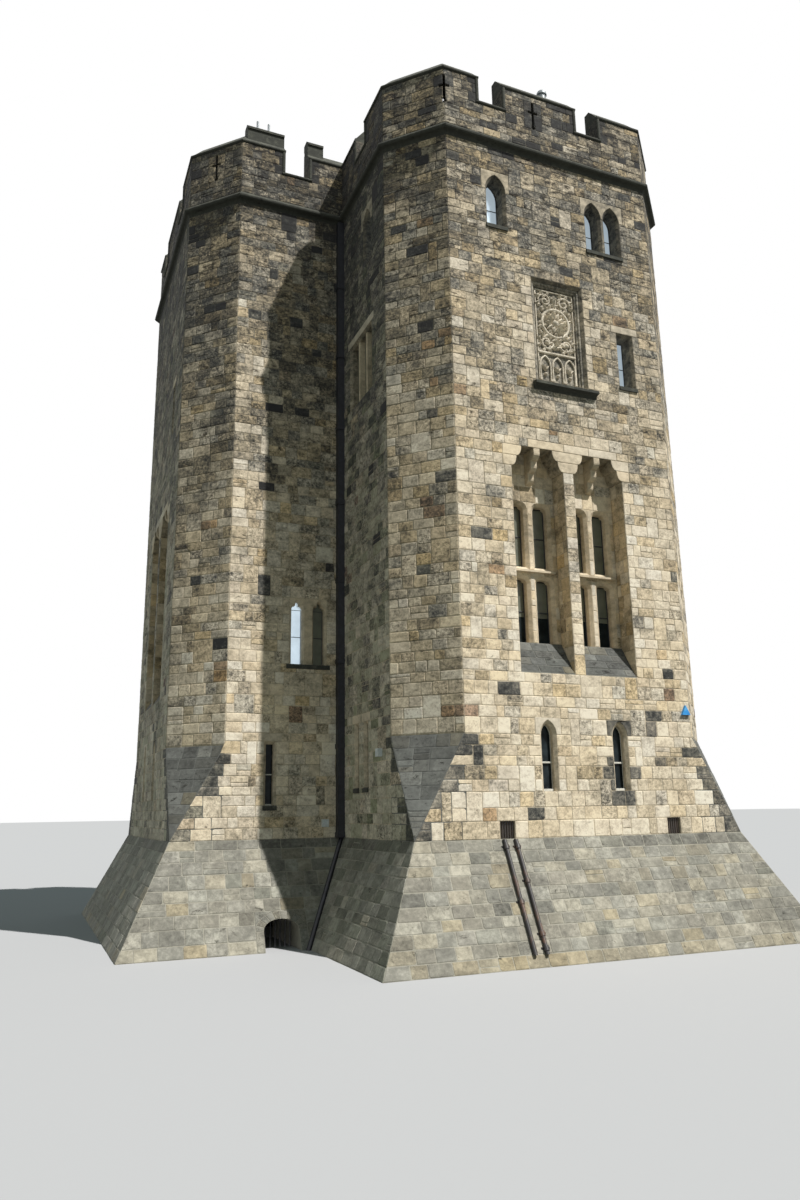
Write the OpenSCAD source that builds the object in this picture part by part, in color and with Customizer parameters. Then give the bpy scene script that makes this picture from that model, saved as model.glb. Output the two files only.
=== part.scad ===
// Castle keep of two square towers that interlock corner to corner.
// Millimetres, +Z up. The origin is the middle of the footprint at ground level.
// The plan is the same after half a turn, and so are its plain hidden faces.
// Each face of the keep has its own frame: x runs along the face from left to right
// as seen from outside, y goes into the wall, and z is the height above the ground.

/* [Plan] */
// Width and depth of each of the two square towers
tower_w = 10850; // [10300:50:12500]
// Distance that the rear tower stands back from the front one
set_back = 5670; // [5300:10:6200]
// Distance that the rear tower steps out to the left
side_step = 5370; // [5100:10:6000]
// Leg of the 45 degree cut at each outer corner
corner_cut = 1550; // [1200:10:1750]
// Thickness of the outer walls
wall_t = 1800; // [1500:10:2000]

/* [Plinth] */
// Height of the battered plinth
plinth_h = 3050; // [2700:10:3500]
// How far the plinth spreads out at the ground
plinth_spread = 1500; // [1000:10:1700]
// Height of the stops that bring the square plinth corners to the cut corners
broach_h = 2830; // [2000:10:3200]

/* [Storeys] */
// Height of the walls from the plinth to the string course
wall_h = 22000; // [21600:10:24000]
// Thickness of each floor
floor_t = 300; // [200:10:400]
// Top of the ground floor above the plinth
ground_floor_z = 200; // [0:10:600]
// Top of the hall floor above the plinth
hall_floor_z = 4400; // [4000:10:4450]
// Top of the upper floor above the plinth
upper_floor_z = 13000; // [12500:10:13500]
// Top of the highest floor above the plinth
top_floor_z = 18000; // [17000:10:18500]

/* [Battlements] */
// Height of the moulded string course
string_h = 450; // [400:10:600]
// Projection of the string course
string_out = 200; // [120:10:300]
// Thickness of the parapet
parapet_t = 650; // [450:10:700]
// Height of the parapet below the crenels
parapet_h = 1130; // [900:10:1400]
// Height of the merlons above the crenels
merlon_h = 950; // [700:10:1200]
// Width of a crenel
crenel_w = 890; // [700:10:1000]
// Diameter of the roll on the outer edge of the coping and round the crenels
coping_h = 120; // [100:10:160]
// Height of the weathered coping above the merlons
coping_rise = 620; // [300:10:700]
// Height of a cross slit
slit_h = 1000; // [700:10:1200]
// Width of a cross slit
slit_w = 90; // [60:5:120]
// Length of the arms of a cross slit
slit_arm_w = 360; // [240:10:500]
// How far a cross slit reaches below the crenels
slit_drop_h = 270; // [150:10:400]
// Diameter of the round foot of a cross slit
slit_foot_d = 160; // [100:10:220]
// Middle of the first crenel of a long face, from the corner of the tower
first_crenel_x = 3275; // [2600:5:3600]
// Middle of the second crenel of a long face
second_crenel_x = 7090; // [6600:5:7600]
// Middle of the crenel of a set-back face
set_back_crenel_x = 3605; // [2700:5:4100]
// Middle of the crenel of a return face
return_crenel_x = 2005; // [1300:5:2700]

/* [Hall windows] */
// Width of a hall window niche
niche_w = 1820; // [1600:10:1950]
// Width of the pier between two niches
niche_pier = 370; // [300:10:600]
// Sill of the niches at the wall face, above the plinth
niche_z = 4580; // [4500:10:4800]
// Height of the niches from that sill to the flat of the head
niche_h = 6970; // [6700:10:7200]
// Depth of the niches
niche_deep = 620; // [450:10:700]
// Rise of the sloping sill
sill_rise = 1000; // [700:10:1100]
// Width of one of the two corbel rolls in a niche shoulder
roll_w = 185; // [120:5:220]
// Height of one of the two corbel rolls in a niche shoulder
roll_h = 340; // [240:5:400]
// Width of the hanging bracket in the head
bracket_w = 210; // [150:5:300]
// Thickness of the window stonework
tracery_t = 300; // [200:10:400]
// Width of the chamfer round each light
light_splay_w = 90; // [50:5:110]
// Width of the clear light
light_w = 500; // [400:10:520]
// Width of the front of the mullion
mullion_w = 150; // [120:5:200]
// Clear height of each light
light_h = 1980; // [1800:10:2000]
// Height of the transom between the lights
transom_h = 370; // [300:10:450]
// Size of the shoulders of a light
light_shoulder_w = 170; // [100:5:200]
// Projection of the transom ledge
transom_out = 130; // [60:5:200]
// Thickness of the transom ledge at its edge
transom_t = 60; // [30:5:100]
// Thickness of the glass
glass_t = 30; // [10:5:60]

/* [Small windows] */
// Width of the splay round the small windows
window_splay_w = 80; // [20:5:90]
// Depth of that splay
window_splay_deep = 90; // [60:10:200]
// Distance of the lower lancets from the middle of the face
lancet_offset = 1220; // [900:10:1600]
// Distance of the single upper lancet from the middle of the face
high_lancet_offset = 2130; // [1700:10:2600]
// Distance of the twin lancet from the middle of the face
twin_offset = 2010; // [1700:10:2400]
// Distance of the square-headed window from the middle of the face
square_window_offset = 2555; // [2000:5:3000]
// Distance of the slit in a side face from the middle of the face
side_slit_offset = 2070; // [1500:10:2800]
// Distance of the slit in a set-back face from the inner corner
set_back_slit_offset = 2390; // [2150:10:2900]
// Sill of that slit above the plinth
set_back_slit_z = 1000; // [700:10:1500]
// Distance of the cusped window from the inner corner
cusped_offset = 1190; // [1000:10:1500]
// Distance between the lights of the cusped window
cusped_gap_w = 270; // [200:10:450]
// Distance of the first slit of a return face from the inner corner
first_slit_x = 1340; // [1000:10:1500]
// Distance of the second slit of a return face from the inner corner
second_slit_x = 2150; // [1900:10:2600]
// Sill of both slits above the plinth
pair_slit_z = 1480; // [1000:10:2000]
// Distance of the three-light window from the inner corner
triple_x = 1880; // [1500:10:2200]
// Sill of the three-light window above the plinth
triple_z = 14150; // [13500:10:15000]
// Width of its mullions
triple_mullion_w = 140; // [100:5:200]
// Distance of the lancet of a return face from the inner corner
return_lancet_x = 2560; // [1500:10:2900]
// Width of the lower lancets
lancet_w = 380; // [300:10:500]
// Height of the lower lancets
lancet_h = 1900; // [1500:10:2200]
// Sill of the lower lancets above the plinth
lancet_z = 1250; // [900:10:1500]
// Width of the upper lancets
high_lancet_w = 590; // [450:10:650]
// Width of one light of the twin lancet
twin_w = 520; // [450:10:560]
// Height of the upper lancets
high_lancet_h = 1780; // [1600:10:1900]
// Sill of the upper lancets above the plinth
high_lancet_z = 19100; // [18700:10:19300]
// Width of the mullion in the twin lancet
twin_mullion_w = 240; // [200:5:280]
// Width of the square-headed window
square_window_w = 500; // [400:10:600]
// Height of the square-headed window
square_window_h = 1840; // [1500:10:2000]
// Sill of the square-headed windows above the plinth
square_window_z = 14240; // [13800:10:14600]
// Width of a narrow slit window
narrow_w = 240; // [180:10:350]
// Height of a narrow slit window
narrow_h = 1880; // [1500:10:2000]
// Width of one light of the three-light window
triple_w = 560; // [450:10:620]
// Height of the three-light window
triple_h = 2300; // [1900:10:2500]
// Width of one light of the cusped window
cusped_w = 470; // [380:10:480]
// Height of the cusped window
cusped_h = 2200; // [1900:10:2500]
// Sill of the cusped window above the plinth
cusped_z = 5450; // [5200:10:5800]
// Depth of the glass in the lower windows behind the wall face
lower_glass_deep = 240; // [200:10:400]
// Depth of the glass in the upper windows behind the wall face
upper_glass_deep = 500; // [300:10:700]
// Size of the square vents at the foot of the wall
vent_w = 470; // [350:10:600]
// Depth of the vents
vent_deep = 350; // [200:10:500]
// Distance of the left vent from the middle of the face
left_vent_offset = 2660; // [2200:10:3000]
// Distance of the right vent from the middle of the face
right_vent_offset = 2935; // [2400:5:3200]

/* [Panel] */
// Width of the recessed relief panel
panel_w = 1780; // [1400:10:2000]
// Height of the recess
panel_h = 3550; // [3000:10:3800]
// Foot of the recess above the plinth
panel_z = 13900; // [13850:10:14200]
// Depth of the recess
panel_deep = 300; // [250:10:400]
// Width of the ledge under the panel
ledge_w = 2330; // [2000:10:2600]
// Height of the ledge
ledge_h = 280; // [200:10:350]
// Projection of the ledge
ledge_out = 200; // [100:10:300]
// Thickness of the panel slab in the recess
panel_slab_t = 60; // [20:10:90]
// Diameter of the rolls that frame the panel
panel_roll_d = 90; // [60:5:110]

/* [Plinth arch] */
// Distance of the arched opening from the inner corner
arch_offset = 2275; // [1900:5:2800]
// Width of the arched opening in the plinth
arch_w = 1050; // [800:10:1300]
// Height of the opening
arch_h = 850; // [700:10:1100]
// Diameter of its iron bars
arch_bar_d = 36; // [20:2:50]
// Spacing of its iron bars
arch_bar_gap = 150; // [110:10:200]

/* [Metalwork] */
// Width of the rainwater downpipe
downpipe_w = 240; // [150:10:300]
// Diameter of the waste pipes
waste_d = 110; // [80:5:150]
// Diameter of the roof flue
flue_d = 300; // [150:10:350]
// Height of the roof flue above the deck
flue_h = 3630; // [3000:10:4000]
// Diameter of the two small flues on the raised blocks
small_flue_d = 90; // [60:5:130]
// Height of the small flues
small_flue_h = 340; // [200:10:500]
// Width of the triangular alarm box
alarm_w = 310; // [200:10:400]
// Height of the alarm box
alarm_h = 290; // [200:10:400]
// Projection of the alarm box
alarm_out = 90; // [50:5:150]
// Foot of the alarm box above the plinth
alarm_z = 3500; // [2900:10:4500]
// Width of a wall lamp
lamp_w = 200; // [120:10:260]
// Height of a wall lamp
lamp_h = 230; // [150:10:300]
// Projection of a wall lamp
lamp_out = 150; // [80:10:250]

/* [Hidden] */
// The eight faces, counted round the keep from the front
FRONT = 0;
RIGHT = 1;
RIGHT_RETURN = 2;
REAR_SIDE = 3;
BACK = 4;
LEFT = 5;
SET_BACK = 6;
RETURN = 7;
// Plan of the eight faces: start point, turn and length
plan_mid = [(tower_w - side_step) / 2, (set_back + tower_w) / 2];
face_start = [[0, 0], [tower_w, 0], [tower_w, tower_w], [tower_w - side_step, tower_w],
              [tower_w - side_step, set_back + tower_w], [-side_step, set_back + tower_w],
              [-side_step, set_back], [0, set_back]];
face_turn = [0, 90, 180, 90, 180, 270, 0, 270];
face_len = [tower_w, tower_w, side_step, set_back, tower_w, tower_w, side_step, set_back];
starts_inside = [false, false, false, true, false, false, false, true];
ends_inside = [false, false, true, false, false, false, true, false];
// Heights above the ground
string_z = plinth_h + wall_h;
parapet_z = string_z + string_h;
crenel_z = parapet_z + parapet_h;
merlon_top = crenel_z + merlon_h;
// Crenel middles along each face
long_crenels = [first_crenel_x, second_crenel_x];
set_back_crenels = [set_back_crenel_x];
return_crenels = [return_crenel_x];
face_crenels = [long_crenels, long_crenels, set_back_crenels, return_crenels,
                long_crenels, long_crenels, set_back_crenels, return_crenels];
// Steps of the curves
arc_steps = 5;
roll_steps = 6;
shoulder_steps = 3;
// Extra length of a cut past the face that it opens
past = 20;
// Colours of the stone and metal
sandstone = "#b49c78";
dark_stone = "#5f6468";
plinth_stone = "#8f9083";
iron = "#23262b";

// Frames
module on_face(i)
    translate([face_start[i][0] - plan_mid[0], face_start[i][1] - plan_mid[1], 0])
        rotate([0, 0, face_turn[i]]) children();

module on_faces(list)
    for (i = list) on_face(i) children();

// Outline helpers
function cut_leg(d) = corner_cut + d * (2 - sqrt(2));

function turned_over(p) = [for (i = [len(p) - 1:-1:0]) p[i]];

// Points of face i moved outwards by d, from the middle of one corner to the next
function start_points(i, d) = starts_inside[i] ? [[d, -d]]
    : [[cut_leg(d) / 2 - d, cut_leg(d) / 2 - d], [cut_leg(d) - d, -d]];

function end_points(i, d) = ends_inside[i] ? [[face_len[i] - d, -d]]
    : [[face_len[i] + d - cut_leg(d), -d],
       [face_len[i] + d - cut_leg(d) / 2, cut_leg(d) / 2 - d]];

function face_points(i, d) = concat(start_points(i, d), end_points(i, d));

// Square-cornered points of face i moved outwards by d
function square_points(i, d) = [[starts_inside[i] ? d : -d, -d],
                                [face_len[i] + (ends_inside[i] ? -d : d), -d]];

// Band along face i between two offsets
function band(i, outer, inner) = concat(face_points(i, outer),
                                        turned_over(face_points(i, inner)));

// Whole plan moved outwards by d, in the frame of the keep
function plan_half(d) = let (a = -d, b = tower_w + d, leg = cut_leg(d))
    [[a + leg, a], [b - leg, a], [b, a + leg], [b, b - leg], [b - leg, b],
     [tower_w - side_step + d, b], [tower_w - side_step + d, set_back + tower_w + d - leg]];

function plan(d) = let (half = [for (p = plan_half(d)) p - plan_mid])
    concat(half, [for (p = half) -p]);

// Inside of the walls, with square corners
function room() = let (a = wall_t, b = tower_w - wall_t, c = tower_w - side_step - wall_t,
                       half = [[a, a], [b, a], [b, b], [c, b]],
                       moved = [for (p = half) p - plan_mid])
    concat(moved, [for (p = moved) -p]);

// Quarter of an ellipse from point a to point b that leaves a upwards
function up_arc(a, b, steps = arc_steps) = [for (k = [1:steps])
    let (t = 90 * k / steps)
    [b[0] + (a[0] - b[0]) * cos(t), a[1] + (b[1] - a[1]) * sin(t)]];

// Quarter of an ellipse from point a to point b that leaves a sideways
function side_arc(a, b) = [for (k = [1:arc_steps])
    let (t = 90 * k / arc_steps)
    [a[0] + (b[0] - a[0]) * sin(t), b[1] + (a[1] - b[1]) * cos(t)]];

// Opening outlines: x from the middle, y from the sill
function mirrored(right) = concat(right, [for (p = turned_over(right)) [-p[0], p[1]]]);

// Niche head with two convex corbel rolls on each side
function niche_right(w, h, rw, rh) = concat([[w / 2, 0], [w / 2, h - 2 * rh]],
    side_arc([w / 2, h - 2 * rh], [w / 2 - rw, h - rh]),
    side_arc([w / 2 - rw, h - rh], [w / 2 - 2 * rw, h]));

// Light with a flat head on two hollow shoulders
function light_right(w, h, s) = concat([[w / 2, 0], [w / 2, h - s]],
    up_arc([w / 2, h - s], [w / 2 - s, h], shoulder_steps));

// Pointed arch, struck from the far springings and moved outwards by s
function lancet_right(w, h, s) = let (rise = w * sqrt(3) / 2, last = acos(w / 2 / (w + s)))
    concat([[w / 2 + s, 0]],
           [for (k = [0:arc_steps]) let (t = last * k / arc_steps)
            [(w + s) * cos(t) - w / 2, h - rise + (w + s) * sin(t)]]);

function lancet_outline(w, h, s = 0) = let (right = lancet_right(w, h, s))
    concat(right, [for (k = [len(right) - 2:-1:0]) [-right[k][0], right[k][1]]]);

// Square head, with its jambs and its top moved outwards by s
function square_outline(w, h, s = 0) = let (side = w / 2 + s)
    [[-side, 0], [side, 0], [side, h + s], [-side, h + s]];

// Cusped head: a round shoulder to the cusp, and a small round lobe above it
function cusped_spring(w, h) = h - 0.7 * w;

function cusped_right(w, h) = let (r = w / 2, cusp = 0.35 * r, z = cusped_spring(w, h))
    concat([[r, 0], [r, z]], up_arc([r, z], [cusp, z + 0.36 * w]),
           [[cusp, z + 0.52 * w]], up_arc([cusp, z + 0.52 * w], [0, h]));

function cusped_outline(w, h) = let (right = cusped_right(w, h))
    concat(right, [for (k = [len(right) - 2:-1:0]) [-right[k][0], right[k][1]]]);

// Outline made larger by one factor, from the height z on its middle line
function grown(outline, z, factor) = [for (p = outline) [factor * p[0], z + factor * (p[1] - z)]];

// Prism of an outline that stands in the wall, from depth y0 to y1
module in_wall(x, z, y0, y1, outline)
    translate([x, y1, z]) rotate([90, 0, 0]) linear_extrude(y1 - y0) polygon(outline);

// Prism that narrows from one outline at depth y0 to a matching one at depth y1
module splay(x, z, y0, y1, wide, narrow) {
    n = len(wide);
    translate([x, 0, z])
        polyhedron(
            points = concat([for (p = wide) [p[0], y0, p[1]]],
                            [for (p = narrow) [p[0], y1, p[1]]]),
            faces = concat([[for (k = [0:n - 1]) n - 1 - k]], [[for (k = [0:n - 1]) n + k]],
                           [for (k = [0:n - 1]) [k, (k + 1) % n, n + (k + 1) % n, n + k]]));
}

// Profile of [depth, height] points run along x
module profile_run(x0, x1, profile)
    translate([x0, 0, 0]) rotate([90, 0, 90]) linear_extrude(x1 - x0) polygon(profile);

// Profile run round the keep in mitred lengths, with a thin joint at every bend
sweep_reach = 900;
sweep_h = 1000;
joint_w = 8;
module plan_sweep(z, profile) {
    line = plan(0);
    outer = plan(sweep_reach);
    inner = plan(-sweep_reach);
    for (k = [0:len(line) - 1]) {
        j = (k + 1) % len(line);
        run = line[j] - line[k];
        gap = run / norm(run) * joint_w / 2;
        translate([0, 0, z])
            intersection() {
                translate([line[k][0], line[k][1], 0]) rotate([0, 0, atan2(run[1], run[0])])
                    profile_run(-corner_cut, norm(run) + corner_cut, profile);
                linear_extrude(sweep_h)
                    polygon([outer[k] + gap, outer[j] - gap, inner[j] - gap, inner[k] + gap]);
            }
    }
}

// Half round that stands out of the wall, from its foot to its top
function roll(y, z, r) = [for (k = [0:roll_steps]) let (t = 90 + 180 * k / roll_steps)
    [y + r * cos(t), z - r * sin(t)]];

// Plinth
module plinth_side(i)
    on_face(i)
        intersection() {
            rotate([90, 0, 90])
                translate([0, 0, -plinth_spread])
                    linear_extrude(face_len[i] + 2 * plinth_spread + wall_t)
                        polygon([[-plinth_spread, 0], [wall_t, 0], [wall_t, plinth_h],
                                 [0, plinth_h]]);
            linear_extrude(plinth_h)
                polygon(concat(square_points(i, plinth_spread),
                               turned_over(square_points(i, -wall_t))));
        }

module front_back_plinth() color(plinth_stone) {
    plinth_side(FRONT);
    plinth_side(BACK);
}

module side_plinth() color(plinth_stone) {
    plinth_side(RIGHT);
    plinth_side(LEFT);
}

module set_back_plinth() color(plinth_stone) {
    plinth_side(RIGHT_RETURN);
    difference() {
        plinth_side(SET_BACK);
        on_face(SET_BACK) plinth_arch_cut();
    }
}

module return_plinth() color(plinth_stone) {
    plinth_side(REAR_SIDE);
    plinth_side(RETURN);
}

// Arched opening in the plinth, with its low arch
arch_x = side_step - arch_offset;
arch_rise = 300;
module plinth_arch_cut()
    in_wall(arch_x, 0, -plinth_spread - past, wall_t + past,
            mirrored(concat([[arch_w / 2, 0], [arch_w / 2, arch_h - arch_rise]],
                            up_arc([arch_w / 2, arch_h - arch_rise], [past, arch_h]))));

module arch_bars() color(iron) on_face(SET_BACK) {
    bar_y = -plinth_spread / 3;
    count = floor(arch_w / arch_bar_gap);
    first = arch_x - (count - 1) * arch_bar_gap / 2;
    intersection() {
        for (k = [0:count - 1])
            translate([first + k * arch_bar_gap, bar_y, 0])
                cylinder(d = arch_bar_d, h = arch_h + past, $fn = 8);
        plinth_arch_cut();
    }
}

// Walls
module wall_mass(i)
    translate([0, 0, plinth_h])
        linear_extrude(wall_h)
            polygon(concat(face_points(i, 0), turned_over(square_points(i, -wall_t))));

// Height above the plinth turned into height above the ground
function up(z) = plinth_h + z;

mid = tower_w / 2;
niche_xs = [mid - (niche_w + niche_pier) / 2, mid + (niche_w + niche_pier) / 2];
lancet_xs = [mid - lancet_offset, mid + lancet_offset];
high_lancet_x = mid - high_lancet_offset;
twin_x = mid + twin_offset;
twin_xs = [twin_x - (twin_w + twin_mullion_w) / 2, twin_x + (twin_w + twin_mullion_w) / 2];
square_window_x = mid + square_window_offset;
vent_xs = [mid - left_vent_offset, mid + right_vent_offset];
side_slit_x = mid + side_slit_offset;
niche_outline = mirrored(niche_right(niche_w, niche_h, roll_w, roll_h));

module opening(x, z, outline)
    in_wall(x, up(z), -past, wall_t + past, outline);

module niche_cuts()
    for (x = niche_xs) opening(x, niche_z, niche_outline);

// Small window openings, splayed at the wall face
face_splay = window_splay_w * (1 + past / window_splay_deep);
module lancet_cut(x, z, w, h) {
    opening(x, z, lancet_outline(w, h));
    splay(x, up(z), -past, window_splay_deep, lancet_outline(w, h, face_splay),
          lancet_outline(w, h));
}

module square_cut(x, z, w, h) {
    opening(x, z, square_outline(w, h));
    splay(x, up(z), -past, window_splay_deep, square_outline(w, h, face_splay),
          square_outline(w, h));
}

module lower_lancet_cuts()
    for (x = lancet_xs) lancet_cut(x, lancet_z, lancet_w, lancet_h);

module high_lancet_cut(x, w) lancet_cut(x, high_lancet_z, w, high_lancet_h);

module vent_cuts()
    for (x = vent_xs)
        translate([x - vent_w / 2, -past, up(0)]) cube([vent_w, vent_deep + past, vent_w]);

module long_face_cuts() {
    niche_cuts();
    lower_lancet_cuts();
}

module main_face_cuts() {
    long_face_cuts();
    high_lancet_cut(high_lancet_x, high_lancet_w);
    for (x = twin_xs) high_lancet_cut(x, twin_w);
    square_cut(square_window_x, square_window_z, square_window_w, square_window_h);
    vent_cuts();
}

module panel_cut() {
    in_wall(mid, up(panel_z), -past, panel_deep, square_outline(panel_w, panel_h));
    splay(mid, up(panel_z), -past, window_splay_deep, square_outline(panel_w, panel_h, face_splay),
          square_outline(panel_w, panel_h));
}

module front_wall() color(sandstone) on_face(FRONT)
    difference() {
        wall_mass(FRONT);
        main_face_cuts();
        panel_cut();
    }

module back_wall() color(sandstone) on_face(BACK)
    difference() {
        wall_mass(BACK);
        main_face_cuts();
    }

module side_wall(i) color(sandstone) on_face(i)
    difference() {
        wall_mass(i);
        long_face_cuts();
        square_cut(side_slit_x, square_window_z, narrow_w, narrow_h);
    }

module right_wall() side_wall(RIGHT);
module left_wall() side_wall(LEFT);

// Set-back faces: a slit and the cusped twin window
set_back_slit_x = side_step - set_back_slit_offset;
cusped_x = side_step - cusped_offset;
cusped_jamb_w = 25;
cusped_frame_w = 2 * (cusped_w + cusped_jamb_w) + cusped_gap_w;
cusped_xs = [cusped_x - (cusped_w + cusped_gap_w) / 2, cusped_x + (cusped_w + cusped_gap_w) / 2];

module set_back_face(i) color(sandstone) on_face(i)
    difference() {
        wall_mass(i);
        square_cut(set_back_slit_x, set_back_slit_z, narrow_w, narrow_h);
        opening(cusped_x, cusped_z, square_outline(cusped_frame_w, cusped_h));
    }

module set_back_wall() set_back_face(SET_BACK);
module right_return_wall() set_back_face(RIGHT_RETURN);

// Return faces: a pair of slits, the three-light window and a high lancet
pair_slit_xs = [first_slit_x, second_slit_x];
triple_frame_w = 3 * triple_w + 2 * triple_mullion_w;

module return_face(i) color(sandstone) on_face(i)
    difference() {
        wall_mass(i);
        for (x = pair_slit_xs) square_cut(x, pair_slit_z, narrow_w, narrow_h);
        square_cut(triple_x, triple_z, triple_frame_w, triple_h);
        high_lancet_cut(return_lancet_x, high_lancet_w);
    }

module return_wall() return_face(RETURN);
module rear_side_wall() return_face(REAR_SIDE);

// Sloping stops from the square plinth corners to the cut corners
module corner_stop()
    translate([0, 0, plinth_h])
        polyhedron(
            points = [[0, 0, 0], [corner_cut, 0, 0], [0, corner_cut, 0],
                      [corner_cut, 0, broach_h], [0, corner_cut, broach_h]],
            faces = [[0, 1, 2], [0, 3, 1], [0, 2, 4], [0, 4, 3], [1, 3, 4, 2]]);

module corner_stops() color(dark_stone)
    for (i = [FRONT, RIGHT, RIGHT_RETURN, BACK, LEFT, SET_BACK]) on_face(i) corner_stop();

// String course: hollow below, roll in the middle and weathering above
string_roll = 0.45 * string_out;
string_hollow = [string_roll - string_out, 0.28 * string_h];
string_profile = concat([[parapet_t, 0], [0, 0]],
    up_arc([0, 0], string_hollow),
    roll(string_hollow[0], string_hollow[1] + string_roll, string_roll),
    [[0, string_h], [parapet_t, string_h]]);
module string_course() color(sandstone) plan_sweep(string_z, string_profile);

// Parapets
module crenel_box(x, w, z, h, out, deep)
    translate([x - w / 2, -out, z]) cube([w, out + deep, h]);

// Cross slit at a place given as [x, y, turn] in the frame of a face
slit_arm_z = 0.54 * slit_h;
module cross_slit(place)
    translate([place[0], place[1], crenel_z - slit_drop_h])
        rotate([0, 0, place[2]]) {
            translate([-slit_w / 2, -slit_reach, 0])
                cube([slit_w, parapet_t + 2 * slit_reach, slit_h]);
            translate([-slit_arm_w / 2, -slit_reach, slit_arm_z])
                cube([slit_arm_w, parapet_t + 2 * slit_reach, slit_w]);
            translate([0, parapet_t + slit_reach, 0])
                rotate([90, 0, 0]) cylinder(d = slit_foot_d, h = parapet_t + 2 * slit_reach, $fn = 12);
        }

slit_reach = slit_arm_w / 2;
front_slit_x = 4900;
main_slits = [[front_slit_x, 0, 0], [corner_cut, 0, -22.5]];
start_slits = [[corner_cut / 2, corner_cut / 2, -45]];
end_slits = [[tower_w - corner_cut / 2, corner_cut / 2, 45]];
face_slits = [main_slits, end_slits, start_slits, [], main_slits, end_slits, start_slits, []];
module parapet(i) on_face(i)
    difference() {
        translate([0, 0, parapet_z])
            linear_extrude(parapet_h + merlon_h) polygon(band(i, 0, -parapet_t));
        for (x = face_crenels[i])
            crenel_box(x, crenel_w, crenel_z, merlon_h + past, past, parapet_t + past);
        for (s = face_slits[i]) cross_slit(s);
    }

module front_back_parapets() color(sandstone) {
    parapet(FRONT);
    parapet(BACK);
}

module side_parapets() color(sandstone) {
    parapet(RIGHT);
    parapet(LEFT);
}

module set_back_parapets() color(sandstone) {
    parapet(SET_BACK);
    parapet(RIGHT_RETURN);
}

module return_parapets() color(sandstone) {
    parapet(RETURN);
    parapet(REAR_SIDE);
}

// Weathered copings with a roll on the outer edge and a steep slope up to a flat back
roll_r = coping_h / 2;
coping_ridge_y = 0.62 * parapet_t;
function coping_top(y) = coping_h + (coping_rise - coping_h) * y / coping_ridge_y;

roll_profile = concat([[parapet_t, 0]], roll(0, roll_r, roll_r),
                      [[coping_ridge_y, coping_rise], [parapet_t, coping_rise]]);
module merlon_copings() color(dark_stone)
    difference() {
        plan_sweep(merlon_top, roll_profile);
        for (i = [FRONT:RETURN]) on_face(i)
            for (x = face_crenels[i])
                crenel_box(x, crenel_w, crenel_z, 2 * merlon_h, string_out,
                           parapet_t + string_out);
    }

// Sills in the crenels, with a roll that runs on under the rolls of the jambs
sill_profile = [[0, 0], [parapet_t, 0], [parapet_t, coping_h], [parapet_t / 2, 1.4 * coping_h],
                [coping_h, coping_h], [0, coping_h]];
module crenel_sills() color(dark_stone)
    for (i = [FRONT:RETURN]) on_face(i)
        for (x = face_crenels[i])
            translate([0, 0, crenel_z]) {
                profile_run(x - crenel_w / 2, x + crenel_w / 2, sill_profile);
                profile_run(x - crenel_w / 2 - coping_h, x + crenel_w / 2 + coping_h,
                            roll(0, roll_r, roll_r));
            }

// Rolls down the sides of the crenels, flush with the jambs
module crenel_jambs() color(dark_stone)
    for (i = [FRONT:RETURN]) on_face(i)
        for (x = face_crenels[i])
            for (side = [-1, 1])
                translate([x + side * (crenel_w / 2 + roll_r), 0, crenel_z + coping_h])
                    linear_extrude(merlon_h - coping_h)
                        polygon([for (k = [0:roll_steps]) let (t = 180 * k / roll_steps)
                                 [roll_r * cos(t), -roll_r * sin(t)]]);

// Raised blocks on the set-back coping, each with a thick cap that is weathered in front
block_inset = 200;
block_side_h = 820;
block_h = 1100;
block_cap_out = 45;
block_cap_t = 90;
block_cap_slope = 170;
block_start_x = 1770;
block_end_x = 4670;
block_gap = 10;
block_ends = [[block_start_x, set_back_crenel_x - crenel_w / 2 - block_gap],
              [set_back_crenel_x + crenel_w / 2 + block_gap, block_end_x]];
block_profile = [[block_inset, coping_top(block_inset)], [coping_ridge_y, coping_rise],
    [parapet_t, coping_rise], [parapet_t, block_side_h], [parapet_t + block_cap_out, block_side_h],
    [parapet_t + block_cap_out, block_h], [block_inset + block_cap_slope, block_h],
    [block_inset - block_cap_out, block_side_h + block_cap_t],
    [block_inset - block_cap_out, block_side_h], [block_inset, block_side_h]];
module raised_blocks() color(dark_stone) on_face(SET_BACK)
    translate([0, 0, merlon_top])
        for (ends = block_ends) profile_run(ends[0], ends[1], block_profile);

// Flue with a domed cowl behind the front parapet, and two small ones on the first raised block
flue_x = 6020;
flue_inset = 400;
flue_dome_r = 0.6 * flue_d;
small_flue_step = 420;
module roof_flues() color("#c9ccce") {
    on_face(FRONT)
        translate([flue_x, parapet_t + flue_inset, string_z + floor_t]) {
            cylinder(d = flue_d, h = flue_h, $fn = 24);
            translate([0, 0, flue_h])
                rotate_extrude($fn = 24)
                    polygon(concat([[0, 0]], [for (k = [0:arc_steps]) let (t = 90 * k / arc_steps)
                                              [flue_dome_r * cos(t), flue_dome_r * sin(t)]]));
        }
    on_face(SET_BACK)
        for (k = [0, 1])
            translate([block_ends[0][0] + (k + 1) * small_flue_step,
                       block_inset + block_cap_slope + small_flue_d, merlon_top + block_h])
                cylinder(d = small_flue_d, h = small_flue_h, $fn = 16);
}

// Floors
module floor_slab(z)
    translate([0, 0, z - floor_t]) linear_extrude(floor_t) polygon(room());

module basement_slab() color("#7d7a72") floor_slab(floor_t);
module ground_floor() color("#8a8070") floor_slab(up(ground_floor_z));
module hall_floor() color("#7a5f42") floor_slab(up(hall_floor_z));
module upper_floor() color("#7a5f42") floor_slab(up(upper_floor_z));
module top_floor() color("#7a5f42") floor_slab(up(top_floor_z));
module roof_deck() color("#6f757c")
    translate([0, 0, string_z]) linear_extrude(floor_t) polygon(plan(-parapet_t));

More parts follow.
